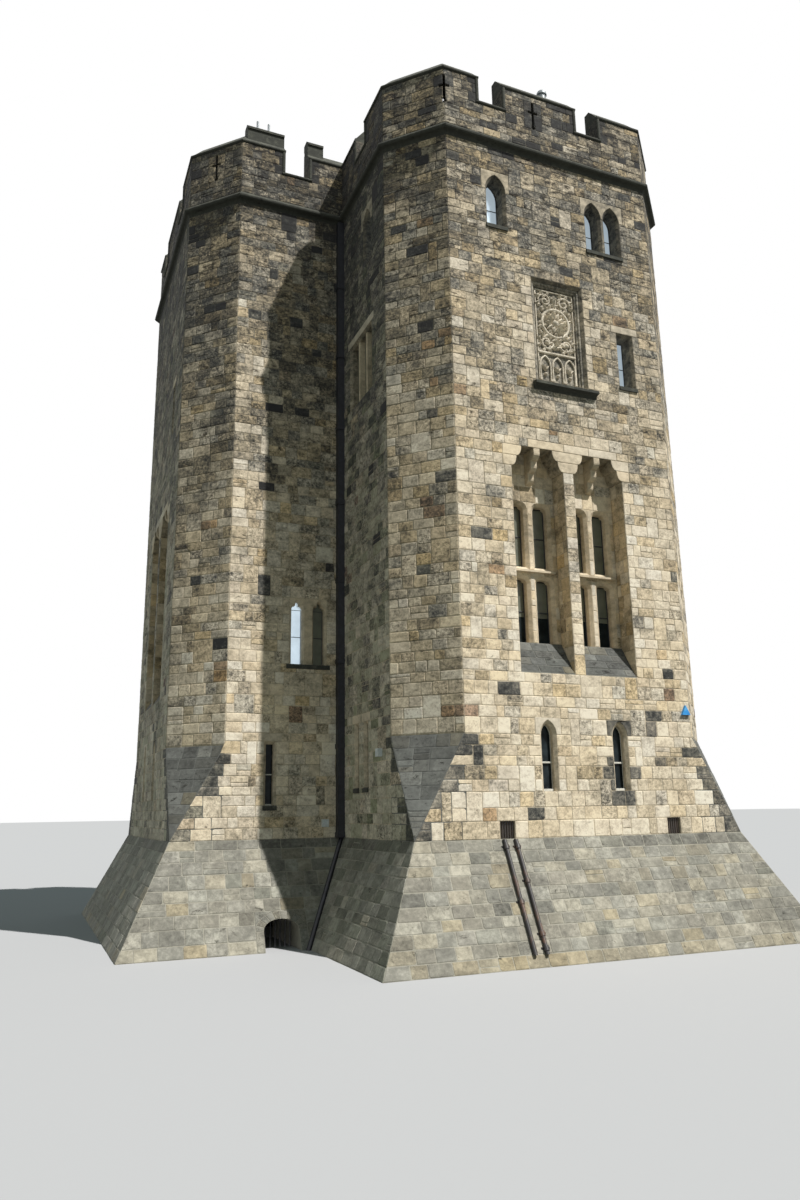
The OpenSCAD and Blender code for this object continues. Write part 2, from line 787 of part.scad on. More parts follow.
// Hall windows
long_faces = [FRONT, RIGHT, BACK, LEFT];
light_xs = [-(light_w + mullion_w) / 2 - light_splay_w, (light_w + mullion_w) / 2 + light_splay_w];
lower_light_z = sill_rise;
upper_light_z = lower_light_z + light_h + transom_h;
light_outline = mirrored(light_right(light_w, light_h, light_shoulder_w));

function wide_light(s) = let (right = light_right(light_w + 2 * s, light_h + 2 * s,
                                                  light_shoulder_w + s / 2))
    mirrored([for (p = right) [p[0], p[1] - s]]);

module light_cut(x, z) {
    in_wall(x, z, niche_deep - past, niche_deep + tracery_t + past, light_outline);
    splay(x, z, niche_deep - past, niche_deep + light_splay_w,
          wide_light(light_splay_w * (1 + past / light_splay_w)), light_outline);
}

// Ledge that throws rain off the transom, with a sloping top
transom_ledge_w = 2 * light_w + mullion_w + 4 * light_splay_w;
transom_foot = upper_light_z - transom_h / 2;
module transom_ledge(x)
    translate([x - transom_ledge_w / 2, 0, up(niche_z)])
        rotate([90, 0, 90])
            linear_extrude(transom_ledge_w)
                polygon([[niche_deep + past, transom_foot], [niche_deep - transom_out, transom_foot],
                         [niche_deep - transom_out, transom_foot + transom_t],
                         [niche_deep + past, upper_light_z - light_splay_w]]);

module hall_window(x) {
    difference() {
        in_wall(x, up(niche_z), niche_deep, niche_deep + tracery_t, niche_outline);
        for (lx = light_xs)
            for (lz = [lower_light_z, upper_light_z])
                light_cut(x + lx, up(niche_z) + lz);
    }
    transom_ledge(x);
}

module hall_windows() color(sandstone) on_faces(long_faces)
    for (x = niche_xs) hall_window(x);

// Sloping sill in front of the window stonework
module hall_sills() color(dark_stone) on_faces(long_faces)
    for (x = niche_xs)
        translate([x - niche_w / 2, 0, up(niche_z)])
            rotate([90, 0, 90])
                linear_extrude(niche_w)
                    polygon([[0, 0], [niche_deep, 0], [niche_deep, sill_rise]]);

// Hanging bracket of three corbel rolls, seen from the side: x is the depth
bracket_tiers = 3;
bracket_step = niche_deep / bracket_tiers;
bracket_profile = concat([[0, 0]],
    [for (k = [0:bracket_tiers - 1])
     for (p = concat([[k * bracket_step, -k * roll_h - roll_h / 2]],
                     up_arc([k * bracket_step, -k * roll_h - roll_h / 2],
                            [(k + 1) * bracket_step, -(k + 1) * roll_h]))) p],
    [[niche_deep, 0]]);

module hall_brackets() color(sandstone) on_faces(long_faces)
    for (x = niche_xs)
        translate([x - bracket_w / 2, 0, up(niche_z + niche_h)])
            rotate([90, 0, 90]) linear_extrude(bracket_w) polygon(bracket_profile);

module hall_glass() color("#2b3236", 0.5) on_faces(long_faces)
    for (x = niche_xs)
        translate([x - niche_w / 2 + roll_w, niche_deep + tracery_t, up(niche_z) + sill_rise / 2])
            cube([niche_w - 2 * roll_w, glass_t, niche_h - sill_rise / 2 - 2 * roll_h]);

// Glass in the other windows
module pane(x, z, deep, outline) in_wall(x, up(z), deep, deep + glass_t, outline);

module lower_pane(x, z, outline) pane(x, z, lower_glass_deep, outline);

module upper_pane(x, z, outline) pane(x, z, upper_glass_deep, outline);

module lower_glass() color("#2b3236", 0.5) {
    on_faces(long_faces)
        for (x = lancet_xs) lower_pane(x, lancet_z, lancet_outline(lancet_w, lancet_h));
    on_faces([SET_BACK, RIGHT_RETURN]) {
        lower_pane(set_back_slit_x, set_back_slit_z, square_outline(narrow_w, narrow_h));
        lower_pane(cusped_x, cusped_z, square_outline(cusped_frame_w, cusped_h));
    }
    on_faces([RETURN, REAR_SIDE])
        for (x = pair_slit_xs) lower_pane(x, pair_slit_z, square_outline(narrow_w, narrow_h));
}

module high_pane(x, w) upper_pane(x, high_lancet_z, lancet_outline(w, high_lancet_h));

module upper_glass() color("#2b3236", 0.5) {
    on_faces([FRONT, BACK]) {
        high_pane(high_lancet_x, high_lancet_w);
        for (x = twin_xs) high_pane(x, twin_w);
        upper_pane(square_window_x, square_window_z,
                   square_outline(square_window_w, square_window_h));
    }
    on_faces([RIGHT, LEFT])
        upper_pane(side_slit_x, square_window_z, square_outline(narrow_w, narrow_h));
    on_faces([RETURN, REAR_SIDE]) {
        high_pane(return_lancet_x, high_lancet_w);
        pane(triple_x, triple_z, triple_glass_deep, square_outline(triple_frame_w, triple_h));
    }
}

// Stonework of the three-light window
triple_frame_t = 200;
triple_glass_deep = window_splay_deep + triple_frame_t;
module three_light_windows() color("#c4b48c") on_faces([RETURN, REAR_SIDE])
    for (k = [1, 2])
        translate([triple_x - triple_frame_w / 2 + k * (triple_w + triple_mullion_w)
                   - triple_mullion_w, window_splay_deep, up(triple_z)])
            cube([triple_mullion_w, triple_frame_t, triple_h]);

// Stonework of the cusped twin window, flush with the wall, with splayed lights
cusped_head = 100;
cusped_splay = 50;
cusped_light_w = cusped_w - 2 * cusped_splay;
cusped_light_h = cusped_h - cusped_head;
cusped_light = cusped_outline(cusped_light_w, cusped_light_h);
cusped_growth = 1 + 2 * cusped_splay / cusped_light_w * (1 + past / window_splay_deep);
module cusped_light_cut(x) {
    in_wall(x, up(cusped_z) - past, -past, lower_glass_deep + past, cusped_light);
    splay(x, up(cusped_z) - past, -past, window_splay_deep,
          grown(cusped_light, cusped_spring(cusped_light_w, cusped_light_h), cusped_growth),
          cusped_light);
}

module cusped_windows() color("#c4b48c") on_faces([SET_BACK, RIGHT_RETURN])
    difference() {
        in_wall(cusped_x, up(cusped_z), 0, lower_glass_deep,
                square_outline(cusped_frame_w, cusped_h));
        for (x = cusped_xs) cusped_light_cut(x);
    }

// Projecting sills with sloping tops, each a little wider than its window
sill_out = 60;
sill_h = 150;
sill_slope = 30;
sill_side = 100;
module sill(x, z, w)
    translate([0, 0, up(z) - sill_h])
        profile_run(x - w / 2 - sill_side, x + w / 2 + sill_side,
                    [[0, 0], [0, sill_h], [-sill_out, sill_h - sill_slope], [-sill_out, 0]]);

module window_sills() color(dark_stone) {
    on_faces([FRONT, BACK]) {
        sill(high_lancet_x, high_lancet_z, high_lancet_w);
        sill(twin_x, high_lancet_z, 2 * twin_w + twin_mullion_w);
        sill(square_window_x, square_window_z, square_window_w);
    }
    on_faces([SET_BACK, RIGHT_RETURN]) {
        sill(cusped_x, cusped_z, cusped_frame_w);
        sill(set_back_slit_x, set_back_slit_z, narrow_w);
    }
    on_faces([RETURN, REAR_SIDE])
        for (x = pair_slit_xs) sill(x, pair_slit_z, narrow_w);
}

// Relief panel: a slab at the back of the recess, framed at its sides and head by two rolls
module panel_rolls(inset, deep) {
    side = panel_w / 2 - inset;
    head = panel_h - inset;
    translate([mid, deep, up(panel_z)]) {
        for (x = [-side, side]) translate([x, 0, 0]) cylinder(d = panel_roll_d, h = head, $fn = 16);
        translate([-side, 0, head]) rotate([0, 90, 0])
            cylinder(d = panel_roll_d, h = 2 * side, $fn = 16);
    }
}

module relief_panel() color("#8e8a80") on_face(FRONT)
    intersection() {
        in_wall(mid, up(panel_z), 0, panel_deep, square_outline(panel_w, panel_h));
        union() {
            translate([mid - panel_w / 2, panel_deep - panel_slab_t, up(panel_z)])
                cube([panel_w, panel_slab_t, panel_h]);
            panel_rolls(0.3 * panel_roll_d, panel_deep - panel_slab_t - 1.05 * panel_roll_d);
            panel_rolls(0.9 * panel_roll_d, panel_deep - panel_slab_t - 0.4 * panel_roll_d);
        }
    }

ledge_shift = 90;
ledge_drop = 70;
module panel_ledge() color(sandstone) on_face(FRONT)
    translate([mid + ledge_shift - ledge_w / 2, 0, up(panel_z) - ledge_h - ledge_drop])
        rotate([90, 0, 90])
            linear_extrude(ledge_w)
                polygon(concat([[0, ledge_h], [0, 0]], up_arc([0, 0], [-ledge_out, 0.5 * ledge_h]),
                               [[-ledge_out, 0.8 * ledge_h]]));

// Downpipe in each inner corner: down the wall, then down the valley of the plinth
collar_out = 25;
collar_h = 160;
collar_pitch = 2750;
valley_d = 150;
valley_run = plinth_spread * sqrt(2);
valley_angle = atan(valley_run / plinth_h);
module downpipe()
    translate([side_step, 0, 0]) {
        translate([-downpipe_w, -downpipe_w, plinth_h]) cube([downpipe_w, downpipe_w, wall_h]);
        for (z = [plinth_h:collar_pitch:string_z - collar_h])
            translate([-downpipe_w - collar_out, -downpipe_w - collar_out, z])
                cube([downpipe_w + collar_out, downpipe_w + collar_out, collar_h]);
        intersection() {
            translate([0, 0, plinth_h])
                rotate([0, 0, -45]) rotate([-valley_angle, 0, 0])
                    translate([0, -valley_d / 2, -2 * plinth_h])
                        cylinder(d = valley_d, h = 2 * plinth_h, $fn = 16);
            translate([-2 * plinth_spread, -2 * plinth_spread, 0])
                cube([2 * plinth_spread, 2 * plinth_spread, plinth_h]);
        }
    }

module downpipes() color(iron) on_faces([SET_BACK, RIGHT_RETURN]) downpipe();

// Waste pipes down the front plinth
waste_gap = 350;
waste_shift = 20;
waste_xs = [vent_xs[0] + waste_shift - waste_gap / 2, vent_xs[0] + waste_shift + waste_gap / 2];
waste_foot = 300;
batter_angle = atan(plinth_spread / plinth_h);
module waste_pipes() color("#4a4d50") on_face(FRONT)
    for (x = waste_xs)
        intersection() {
            translate([x, -waste_d / 2 / cos(batter_angle), plinth_h])
                rotate([-batter_angle, 0, 0])
                    translate([0, 0, -2 * plinth_h])
                        cylinder(d = waste_d, h = 2 * plinth_h, $fn = 24);
            translate([x - waste_d, -2 * plinth_spread, waste_foot])
                cube([2 * waste_d, 2 * plinth_spread, plinth_h - waste_foot]);
        }

// Alarm box on the front wall
arris_gap = 40;
module alarm_box() color("#2f5fa8") on_face(FRONT)
    in_wall(tower_w - corner_cut - arris_gap - alarm_w / 2, up(alarm_z), -alarm_out, 0,
            [[-alarm_w / 2, 0], [alarm_w / 2, 0], [0, alarm_h]]);

// Lamps: where each stands from the inner corner, and its foot above the plinth
return_lamp = [3390, 2310];
set_back_lamp = [610, 330];
module wall_lamp(x, z)
    translate([x - lamp_w / 2, -lamp_out, up(z)]) cube([lamp_w, lamp_out, lamp_h]);

module wall_lamps() color("#aeb6bd") {
    on_face(RETURN) wall_lamp(return_lamp[0], return_lamp[1]);
    on_face(SET_BACK) wall_lamp(side_step - set_back_lamp[0], set_back_lamp[1]);
}

front_back_plinth();
side_plinth();
set_back_plinth();
return_plinth();
front_wall();
right_wall();
right_return_wall();
rear_side_wall();
back_wall();
left_wall();
set_back_wall();
return_wall();
corner_stops();
string_course();
front_back_parapets();
side_parapets();
set_back_parapets();
return_parapets();
merlon_copings();
crenel_sills();
crenel_jambs();
raised_blocks();
roof_flues();
basement_slab();
ground_floor();
hall_floor();
upper_floor();
top_floor();
roof_deck();
hall_windows();
hall_sills();
hall_brackets();
hall_glass();
lower_glass();
upper_glass();
three_light_windows();
cusped_windows();
window_sills();
relief_panel();
panel_ledge();
downpipes();
waste_pipes();
arch_bars();
alarm_box();
wall_lamps();
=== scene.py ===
import math
import random

import bpy
from bpy.props import FloatProperty, FloatVectorProperty, IntProperty, PointerProperty
from mathutils import Matrix, Vector
from mathutils import noise as field


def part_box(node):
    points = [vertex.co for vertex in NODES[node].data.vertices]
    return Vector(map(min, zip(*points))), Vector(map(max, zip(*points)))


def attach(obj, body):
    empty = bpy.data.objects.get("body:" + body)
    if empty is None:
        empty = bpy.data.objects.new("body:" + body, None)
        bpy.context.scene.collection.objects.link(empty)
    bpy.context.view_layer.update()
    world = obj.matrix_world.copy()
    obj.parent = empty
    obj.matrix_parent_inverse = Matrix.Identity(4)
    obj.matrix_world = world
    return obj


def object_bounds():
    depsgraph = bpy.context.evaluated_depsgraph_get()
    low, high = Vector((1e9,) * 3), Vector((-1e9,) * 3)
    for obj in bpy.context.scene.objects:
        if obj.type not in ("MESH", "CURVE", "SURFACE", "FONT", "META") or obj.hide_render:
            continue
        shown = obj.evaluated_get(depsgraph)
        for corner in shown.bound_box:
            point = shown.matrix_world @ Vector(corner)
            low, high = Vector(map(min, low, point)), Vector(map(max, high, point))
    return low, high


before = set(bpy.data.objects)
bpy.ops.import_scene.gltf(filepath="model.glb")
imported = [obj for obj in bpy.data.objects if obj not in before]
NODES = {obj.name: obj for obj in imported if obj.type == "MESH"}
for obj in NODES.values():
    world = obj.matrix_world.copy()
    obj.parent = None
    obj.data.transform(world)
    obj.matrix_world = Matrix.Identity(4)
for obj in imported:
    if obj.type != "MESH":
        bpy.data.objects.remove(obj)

bl_info = {
    "name": "Castle keep dressing",
    "version": (2, 0, 0),
    "blender": (4, 5, 0),
    "location": "3D View > Sidebar > Keep",
    "description": "Lays the stones, window fittings, leadwork and finishes on the solids of the keep",
    "category": "Add Mesh",
}

CAD_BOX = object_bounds()

# Plan and heights of the keep, in metres, as the solids have them
TOWER = 10.85
SET_BACK_BY = 5.67
SIDE_STEP = 5.37
CUT = 1.55
SPREAD = 1.5
PARAPET_T = 0.65
STOP_H = 2.83
PLINTH_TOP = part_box("front_wall")[0].z
WALL_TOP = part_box("front_wall")[1].z
PARAPET_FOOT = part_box("front_back_parapets")[0].z
MERLON_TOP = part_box("front_back_parapets")[1].z
CRENEL_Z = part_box("crenel_sills")[0].z
CRENEL_W = 0.89
PLAN_MID = ((TOWER - SIDE_STEP) / 2, (SET_BACK_BY + TOWER) / 2)
CHAMFER = CUT * math.sqrt(2)
INNER_LEG = CUT - PARAPET_T * (2 - math.sqrt(2))
MIDDLE = TOWER / 2

FRONT, RIGHT, RIGHT_RETURN, REAR_SIDE, BACK, LEFT, SET_BACK, RETURN = range(8)
FACE_START = [(0, 0), (TOWER, 0), (TOWER, TOWER), (TOWER - SIDE_STEP, TOWER),
              (TOWER - SIDE_STEP, SET_BACK_BY + TOWER), (-SIDE_STEP, SET_BACK_BY + TOWER),
              (-SIDE_STEP, SET_BACK_BY), (0, SET_BACK_BY)]
FACE_TURN = [0, 90, 180, 90, 180, 270, 0, 270]
FACE_LEN = [TOWER, TOWER, SIDE_STEP, SET_BACK_BY] * 2
STARTS_INSIDE = [False, False, False, True] * 2
ENDS_INSIDE = [False, False, True, False] * 2
LONG_CRENELS = [3.275, 7.09]
CRENELS = [LONG_CRENELS, LONG_CRENELS, [3.605], [2.005]] * 2
CUT_CORNERS = (FRONT, RIGHT, RIGHT_RETURN, BACK, LEFT, SET_BACK)


def to_linear(text):
    """Hex sRGB colour as a linear RGBA tuple."""
    parts = [int(text[i:i + 2], 16) / 255 for i in (1, 3, 5)]
    return tuple(c / 12.92 if c < 0.04045 else ((c + 0.055) / 1.055) ** 2.4 for c in parts) + (1.0,)


def add_node(tree, kind, inputs=(), stops=(), **settings):
    """Adds a node, sets its settings and colour stops, and sets or links its inputs."""
    node = tree.nodes.new("ShaderNode" + kind)
    for key, value in settings.items():
        setattr(node, key, value)
    for key, value in inputs.items() if isinstance(inputs, dict) else enumerate(inputs):
        if isinstance(value, bpy.types.Node):
            value = value.outputs[0]
        if isinstance(value, bpy.types.NodeSocket):
            tree.links.new(value, node.inputs[key])
        else:
            node.inputs[key].default_value = value
    for k, (place, colour) in enumerate(stops):
        elements = node.color_ramp.elements
        element = elements[k] if k < len(elements) else elements.new(place)
        element.position = place
        element.color = colour
    return node


class Face:
    """Upright plane with x along it from left to right, y into the wall and z up."""

    def __init__(self, start, turn):
        self.start = (start[0] - PLAN_MID[0], start[1] - PLAN_MID[1])
        self.turn = math.radians(turn)
        self.along = (math.cos(self.turn), math.sin(self.turn))

    def at(self, x, y, z):
        ax, ay = self.along
        return (self.start[0] + ax * x - ay * y, self.start[1] + ay * x + ax * y, z)


def face(i):
    return Face(FACE_START[i], FACE_TURN[i])


def chamfer(i):
    """The cut corner at the start of face i, with x from 0 to CHAMFER."""
    corner = face(i).at(0, CUT, 0)
    return Face((corner[0] + PLAN_MID[0], corner[1] + PLAN_MID[1]), FACE_TURN[i] - 45)


def only(obj):
    """Leaves one object selected and active."""
    bpy.ops.object.select_all(action="DESELECT")
    obj.select_set(True)
    bpy.context.view_layer.objects.active = obj
    return obj


def finish_piece(obj, material):
    """Gives a finished piece its place and its material."""
    obj.data.materials.clear()
    obj.data.materials.append(material)
    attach(obj, "root")
    return obj


def join(name, objects):
    """Joins objects to one piece at the origin."""
    bpy.ops.object.select_all(action="DESELECT")
    for obj in objects:
        obj.select_set(True)
    bpy.context.view_layer.objects.active = objects[0]
    if len(objects) > 1:
        bpy.ops.object.join()
    obj = bpy.context.view_layer.objects.active
    bpy.ops.object.transform_apply(location=True, rotation=True, scale=True)
    obj.name = name
    obj.data.name = name
    return obj


def ease_edges(obj, width, segments=1):
    """Rounds the edges of the active object."""
    mod = obj.modifiers.new("Eased edges", "BEVEL")
    mod.width = width
    mod.segments = segments
    bpy.ops.object.modifier_apply(modifier=mod.name)
    return obj


def block(of, x0, x1, y0, y1, z0, z1, bevel=0.006):
    """Box with eased edges in the frame of a face."""
    bpy.ops.object.select_all(action="DESELECT")
    bpy.ops.mesh.primitive_cube_add(size=1, rotation=(0, 0, of.turn), location=of.at(
        (x0 + x1) / 2, (y0 + y1) / 2, (z0 + z1) / 2))
    obj = bpy.context.object
    obj.scale = (abs(x1 - x0), abs(y1 - y0), abs(z1 - z0))
    bpy.ops.object.transform_apply(location=False, rotation=False, scale=True)
    return ease_edges(obj, bevel)


def rod(points, radius, closed=False, sides=2):
    """Round bar along points, as a closed mesh."""
    curve = bpy.data.curves.new("rod", "CURVE")
    curve.dimensions = "3D"
    curve.bevel_depth = radius
    curve.bevel_resolution = sides
    curve.use_fill_caps = not closed
    line = curve.splines.new("POLY")
    line.points.add(len(points) - 1)
    for point, place in zip(line.points, points):
        point.co = (*place, 1)
    line.use_cyclic_u = closed
    obj = bpy.data.objects.new("rod", curve)
    bpy.context.scene.collection.objects.link(obj)
    only(obj)
    bpy.ops.object.convert(target="MESH")
    return bpy.context.object


def arc_steps(count):
    return [math.radians(90) * k / count for k in range(1, count + 1)]


def lancet(width, height, splay=0.0, steps=6):
    """Pointed arch outline from the right foot over the point to the left foot."""
    rise = width * math.sqrt(3) / 2
    last = math.acos(width / 2 / (width + splay))
    right = [(width / 2 + splay, 0)]
    for k in range(steps + 1):
        t = last * k / steps
        right.append(((width + splay) * math.cos(t) - width / 2,
                      height - rise + (width + splay) * math.sin(t)))
    return right + [(-x, z) for x, z in reversed(right[:-1])]


def corbel(x, z, width, height, side):
    """Quarter round that leaves a reveal sideways and turns up; side is 1 at the right reveal."""
    return [(x - side * width * math.sin(t), z + height * (1 - math.cos(t)))
            for t in arc_steps(CORBEL_STEPS)]


# What a stone is made of: place in the palette, pitting, iron stain and warmth
KINDS = {
    "pale": (0.87, 0.3, 0.0, 0.25), "cream": (0.81, 0.42, 0.0, 0.35), "buff": (0.75, 0.52, 0.0, 0.45),
    "gold": (0.73, 0.66, 0.0, 0.7), "brown": (0.63, 0.65, 0.02, 0.55), "grey": (0.65, 0.65, 0.0, 0.1),
    "pitted": (0.72, 0.9, 0.0, 0.25), "slate": (0.36, 0.35, 0.0, 0.0), "black": (0.24, 0.45, 0.0, 0.0),
    "rust": (0.56, 0.7, 0.34, 0.5), "orange": (0.68, 0.5, 0.26, 0.7), "dressed": (0.8, 0.2, 0.0, 0.35),
    "plain": (0.55, 0.25, 0.0, 0.12), "worn": (0.7, 0.4, 0.0, 0.2), "tan": (0.64, 0.3, 0.0, 0.5),
    "ashen": (0.45, 0.4, 0.0, 0.05),
}
# Share of each kind in the walls, from the plinth to the string course
WALL_HEIGHTS = (3.05, 11.0, 19.5, 25.5)
WALL_SHARES = {
    "pale": (4.0, 2.3, 0.5, 0.1), "cream": (3.6, 3.0, 1.3, 0.6), "buff": (1.8, 2.6, 2.2, 1.4),
    "gold": (0.4, 0.5, 0.8, 1.0), "brown": (0.25, 1.0, 1.9, 1.7), "grey": (0.3, 0.8, 2.2, 2.0),
    "pitted": (0.5, 1.0, 1.5, 1.2), "slate": (0.03, 0.06, 0.1, 0.4), "black": (0.02, 0.03, 0.05, 0.25),
    "rust": (0.02, 0.03, 0.02, 0.01), "orange": (0.06, 0.08, 0.05, 0.03),
}
# How green and dark the stones of each face go: partly damp and algae, partly painted shade with a
# green cast of bounced light, strongest on the faces away from the sun
DAMP_AND_SHADE = (0.0, 0.05, 0.1, 0.2, 0.15, 0.5, 0.08, 0.6)
# How much darker soot, grime and painted shade make them, from the plinth to the string course; the
# faces away from the sun get the most
GRIME_AND_SHADE = ((0.0, 0.04), (0.0, 0.04), (0.02, 0.1), (0.04, 0.14), (0.02, 0.08), (0.12, 0.22),
         (0.01, 0.14), (0.1, 0.28))


class Stone:
    """Outline of one stone as 3-D points, with its middle on the face and its mix."""

    def __init__(self, points, mix, middle=(0.0, 0.0)):
        self.points = points
        self.mix = mix
        self.middle = middle


def stone_mix(kind, dice, stain=0.0):
    """Palette place, pitting, iron and, in the last channel, green below a half and warm above."""
    place, pits, iron, warmth = KINDS[kind]
    # stain pulls the last channel below a half: damp and algae, and painted shade with a green cast on
    # the faces away from the sun
    tint = 0.5 + 0.5 * max(0.0, dice.gauss(warmth, 0.12)) - 0.5 * max(0.0, dice.gauss(stain, 0.08))
    values = (dice.gauss(place, 0.045), dice.gauss(pits, 0.12), dice.gauss(iron, 0.02), tint)
    return tuple(min(1.0, max(0.0, value)) for value in values)


def pick(weights, dice):
    mark = dice.random() * sum(weights.values())
    for kind, weight in weights.items():
        mark -= weight
        if mark <= 0:
            return kind
    return kind


def share_at(shares, z):
    """Share at height z, between the heights that the table gives."""
    for k in range(len(WALL_HEIGHTS) - 1):
        if z < WALL_HEIGHTS[k + 1]:
            t = max(0.0, (z - WALL_HEIGHTS[k]) / (WALL_HEIGHTS[k + 1] - WALL_HEIGHTS[k]))
            return shares[k] + t * (shares[k + 1] - shares[k])
    return shares[-1]


# How fast the mix of stones drifts over a wall, and how far up or down the drift reaches
DRIFT_RATE, DRIFT_REACH = 0.4, 4.2


def wall_kinds(i):
    """Chooser for face i: pale and clean low down, sooty towards the battlements, in drifts."""
    def choose(x, z, dice):
        drift = field.noise(Vector((x * DRIFT_RATE + 11 * i, z * DRIFT_RATE, 3.0)))
        height = z + DRIFT_REACH * drift
        return pick({kind: share_at(shares, height) for kind, shares in WALL_SHARES.items()}, dice)
    return choose


def course_levels(marks, height, seed):
    """Heights of the bed joints: the marks, and even courses between them."""
    levels = []
    for low, high in zip(marks, marks[1:]):
        dice = random.Random(seed + int(low * 1000) + int(high * 7))
        count = max(1, round((high - low) / height))
        cuts = [dice.uniform(0.8, 1.2) for _ in range(count)]
        z = low
        for cut in cuts:
            levels.append(z)
            z += (high - low) * cut / sum(cuts)
    return levels + [marks[-1]]


# Where the random draws of each kind of stone start, so that no two kinds share theirs
DRAWS = {"wall": 0, "plinth": 20, "stop": 40, "parapet": 60, "lining": 80, "head": 120,
         "niche": 150}
# Usual height of their courses, and what each adds to the seed of its bed joints
PLINTH_COURSE = 0.345
COURSES = {"plinth": (PLINTH_COURSE, 3), "stop": (0.36, 5), "parapet": (0.31, 9),
           "reveal": (0.42, 13), "tracery": (0.44, 17), "sill": (0.27, 19)}


def draws(masonry, stones, i):
    """Random draws for one kind of stone on face i."""
    return random.Random(masonry.seed * 100 + DRAWS[stones] + i)


def courses(stones, marks, masonry):
    """Bed joints of one kind of stone between the marks."""
    height, step = COURSES[stones]
    return course_levels(marks, height, masonry.seed + step)


# Share of a course's height that an opening has to take to cut it, and the least gap it leaves
HOLE_SHARE, LEAST_SPAN = 0.3, 0.02


def free_spans(left, right, low, high, openings):
    """Parts of a course that nothing takes, each with the kinds of jamb at its two ends."""
    blocked = sorted((hole for hole in openings
                      if min(hole[3], high) - max(hole[2], low) > HOLE_SHARE * (high - low)
                      and hole[1] > left and hole[0] < right), key=lambda hole: hole[:2])
    spans, x, jamb = [], left, None
    for a, b, _, _, kind in blocked:
        if a > x + LEAST_SPAN:
            spans.append((x, a, jamb, kind))
        if b > x:
            x, jamb = b, kind
    if right > x + LEAST_SPAN:
        spans.append((x, right, jamb, None))
    return spans


# Lengths of the jamb stones in turn, and the least span that has room for one
JAMBS, JAMB_ROOM = (0.24, 0.40), 0.9


def split_span(a, b, shortest, longest, jamb_a, jamb_b, odd, dice):
    """Cuts a free span into stones: their ends, and the kind of those that are jamb stones."""
    cuts, tail = [], None
    jamb = JAMBS[0] if odd else JAMBS[1]
    if jamb_a and b - a > JAMB_ROOM:
        cuts.append((a, a + jamb, jamb_a))
        a += jamb
    if jamb_b and b - a > JAMB_ROOM:
        tail = (b - jamb, b, jamb_b)
        b -= jamb
    x = a
    while b - x > shortest:
        step = dice.triangular(shortest, longest, shortest + 0.32 * (longest - shortest))
        if b - x - step < shortest * 0.8:
            step = b - x if b - x < longest else (b - x) / 2
        cuts.append((x, x + step, None))
        x += step
    if b - x > 0.01:
        cuts.append((x, b, jamb_a or jamb_b))
    return cuts + ([tail] if tail else [])


# How much of a corner breaks off, in metres, and the largest share of an edge that goes with it
BREAK_FROM, BREAK_TO, BREAK_SHARE = 0.015, 0.05, 0.3


def worn_outline(corners, masonry, dice):
    """Four corners, anticlockwise, each strayed a little and some of them broken off."""
    stray = masonry.stray
    corners = [(x + dice.uniform(-stray, stray), z + dice.uniform(-stray, stray)) for x, z in corners]
    points = []
    for k, (x, z) in enumerate(corners):
        if dice.random() > masonry.broken:
            points.append((x, z))
            continue
        cut = dice.uniform(BREAK_FROM, BREAK_TO)
        for px, pz in (corners[k - 1], corners[(k + 1) % 4]):
            share = min(BREAK_SHARE, cut / max(0.001, math.hypot(px - x, pz - z)))
            points.append((x + share * (px - x), z + share * (pz - z)))
    return points


# Lowest course, narrowest row, narrowest stone and tallest stone, in metres
LOWEST_COURSE, NARROWEST_ROW, NARROWEST_STONE, TALLEST_STONE = 0.05, 0.12, 0.03, 0.85
# Share of the stones that are two thin ones on each other, and where the bed between them may lie
SPLIT_SHARE, SPLIT_FROM, SPLIT_TO = 0.07, 0.36, 0.64
# The least that the outline of a stone lies inside the face of its wall
LEAST_INSET = 0.003


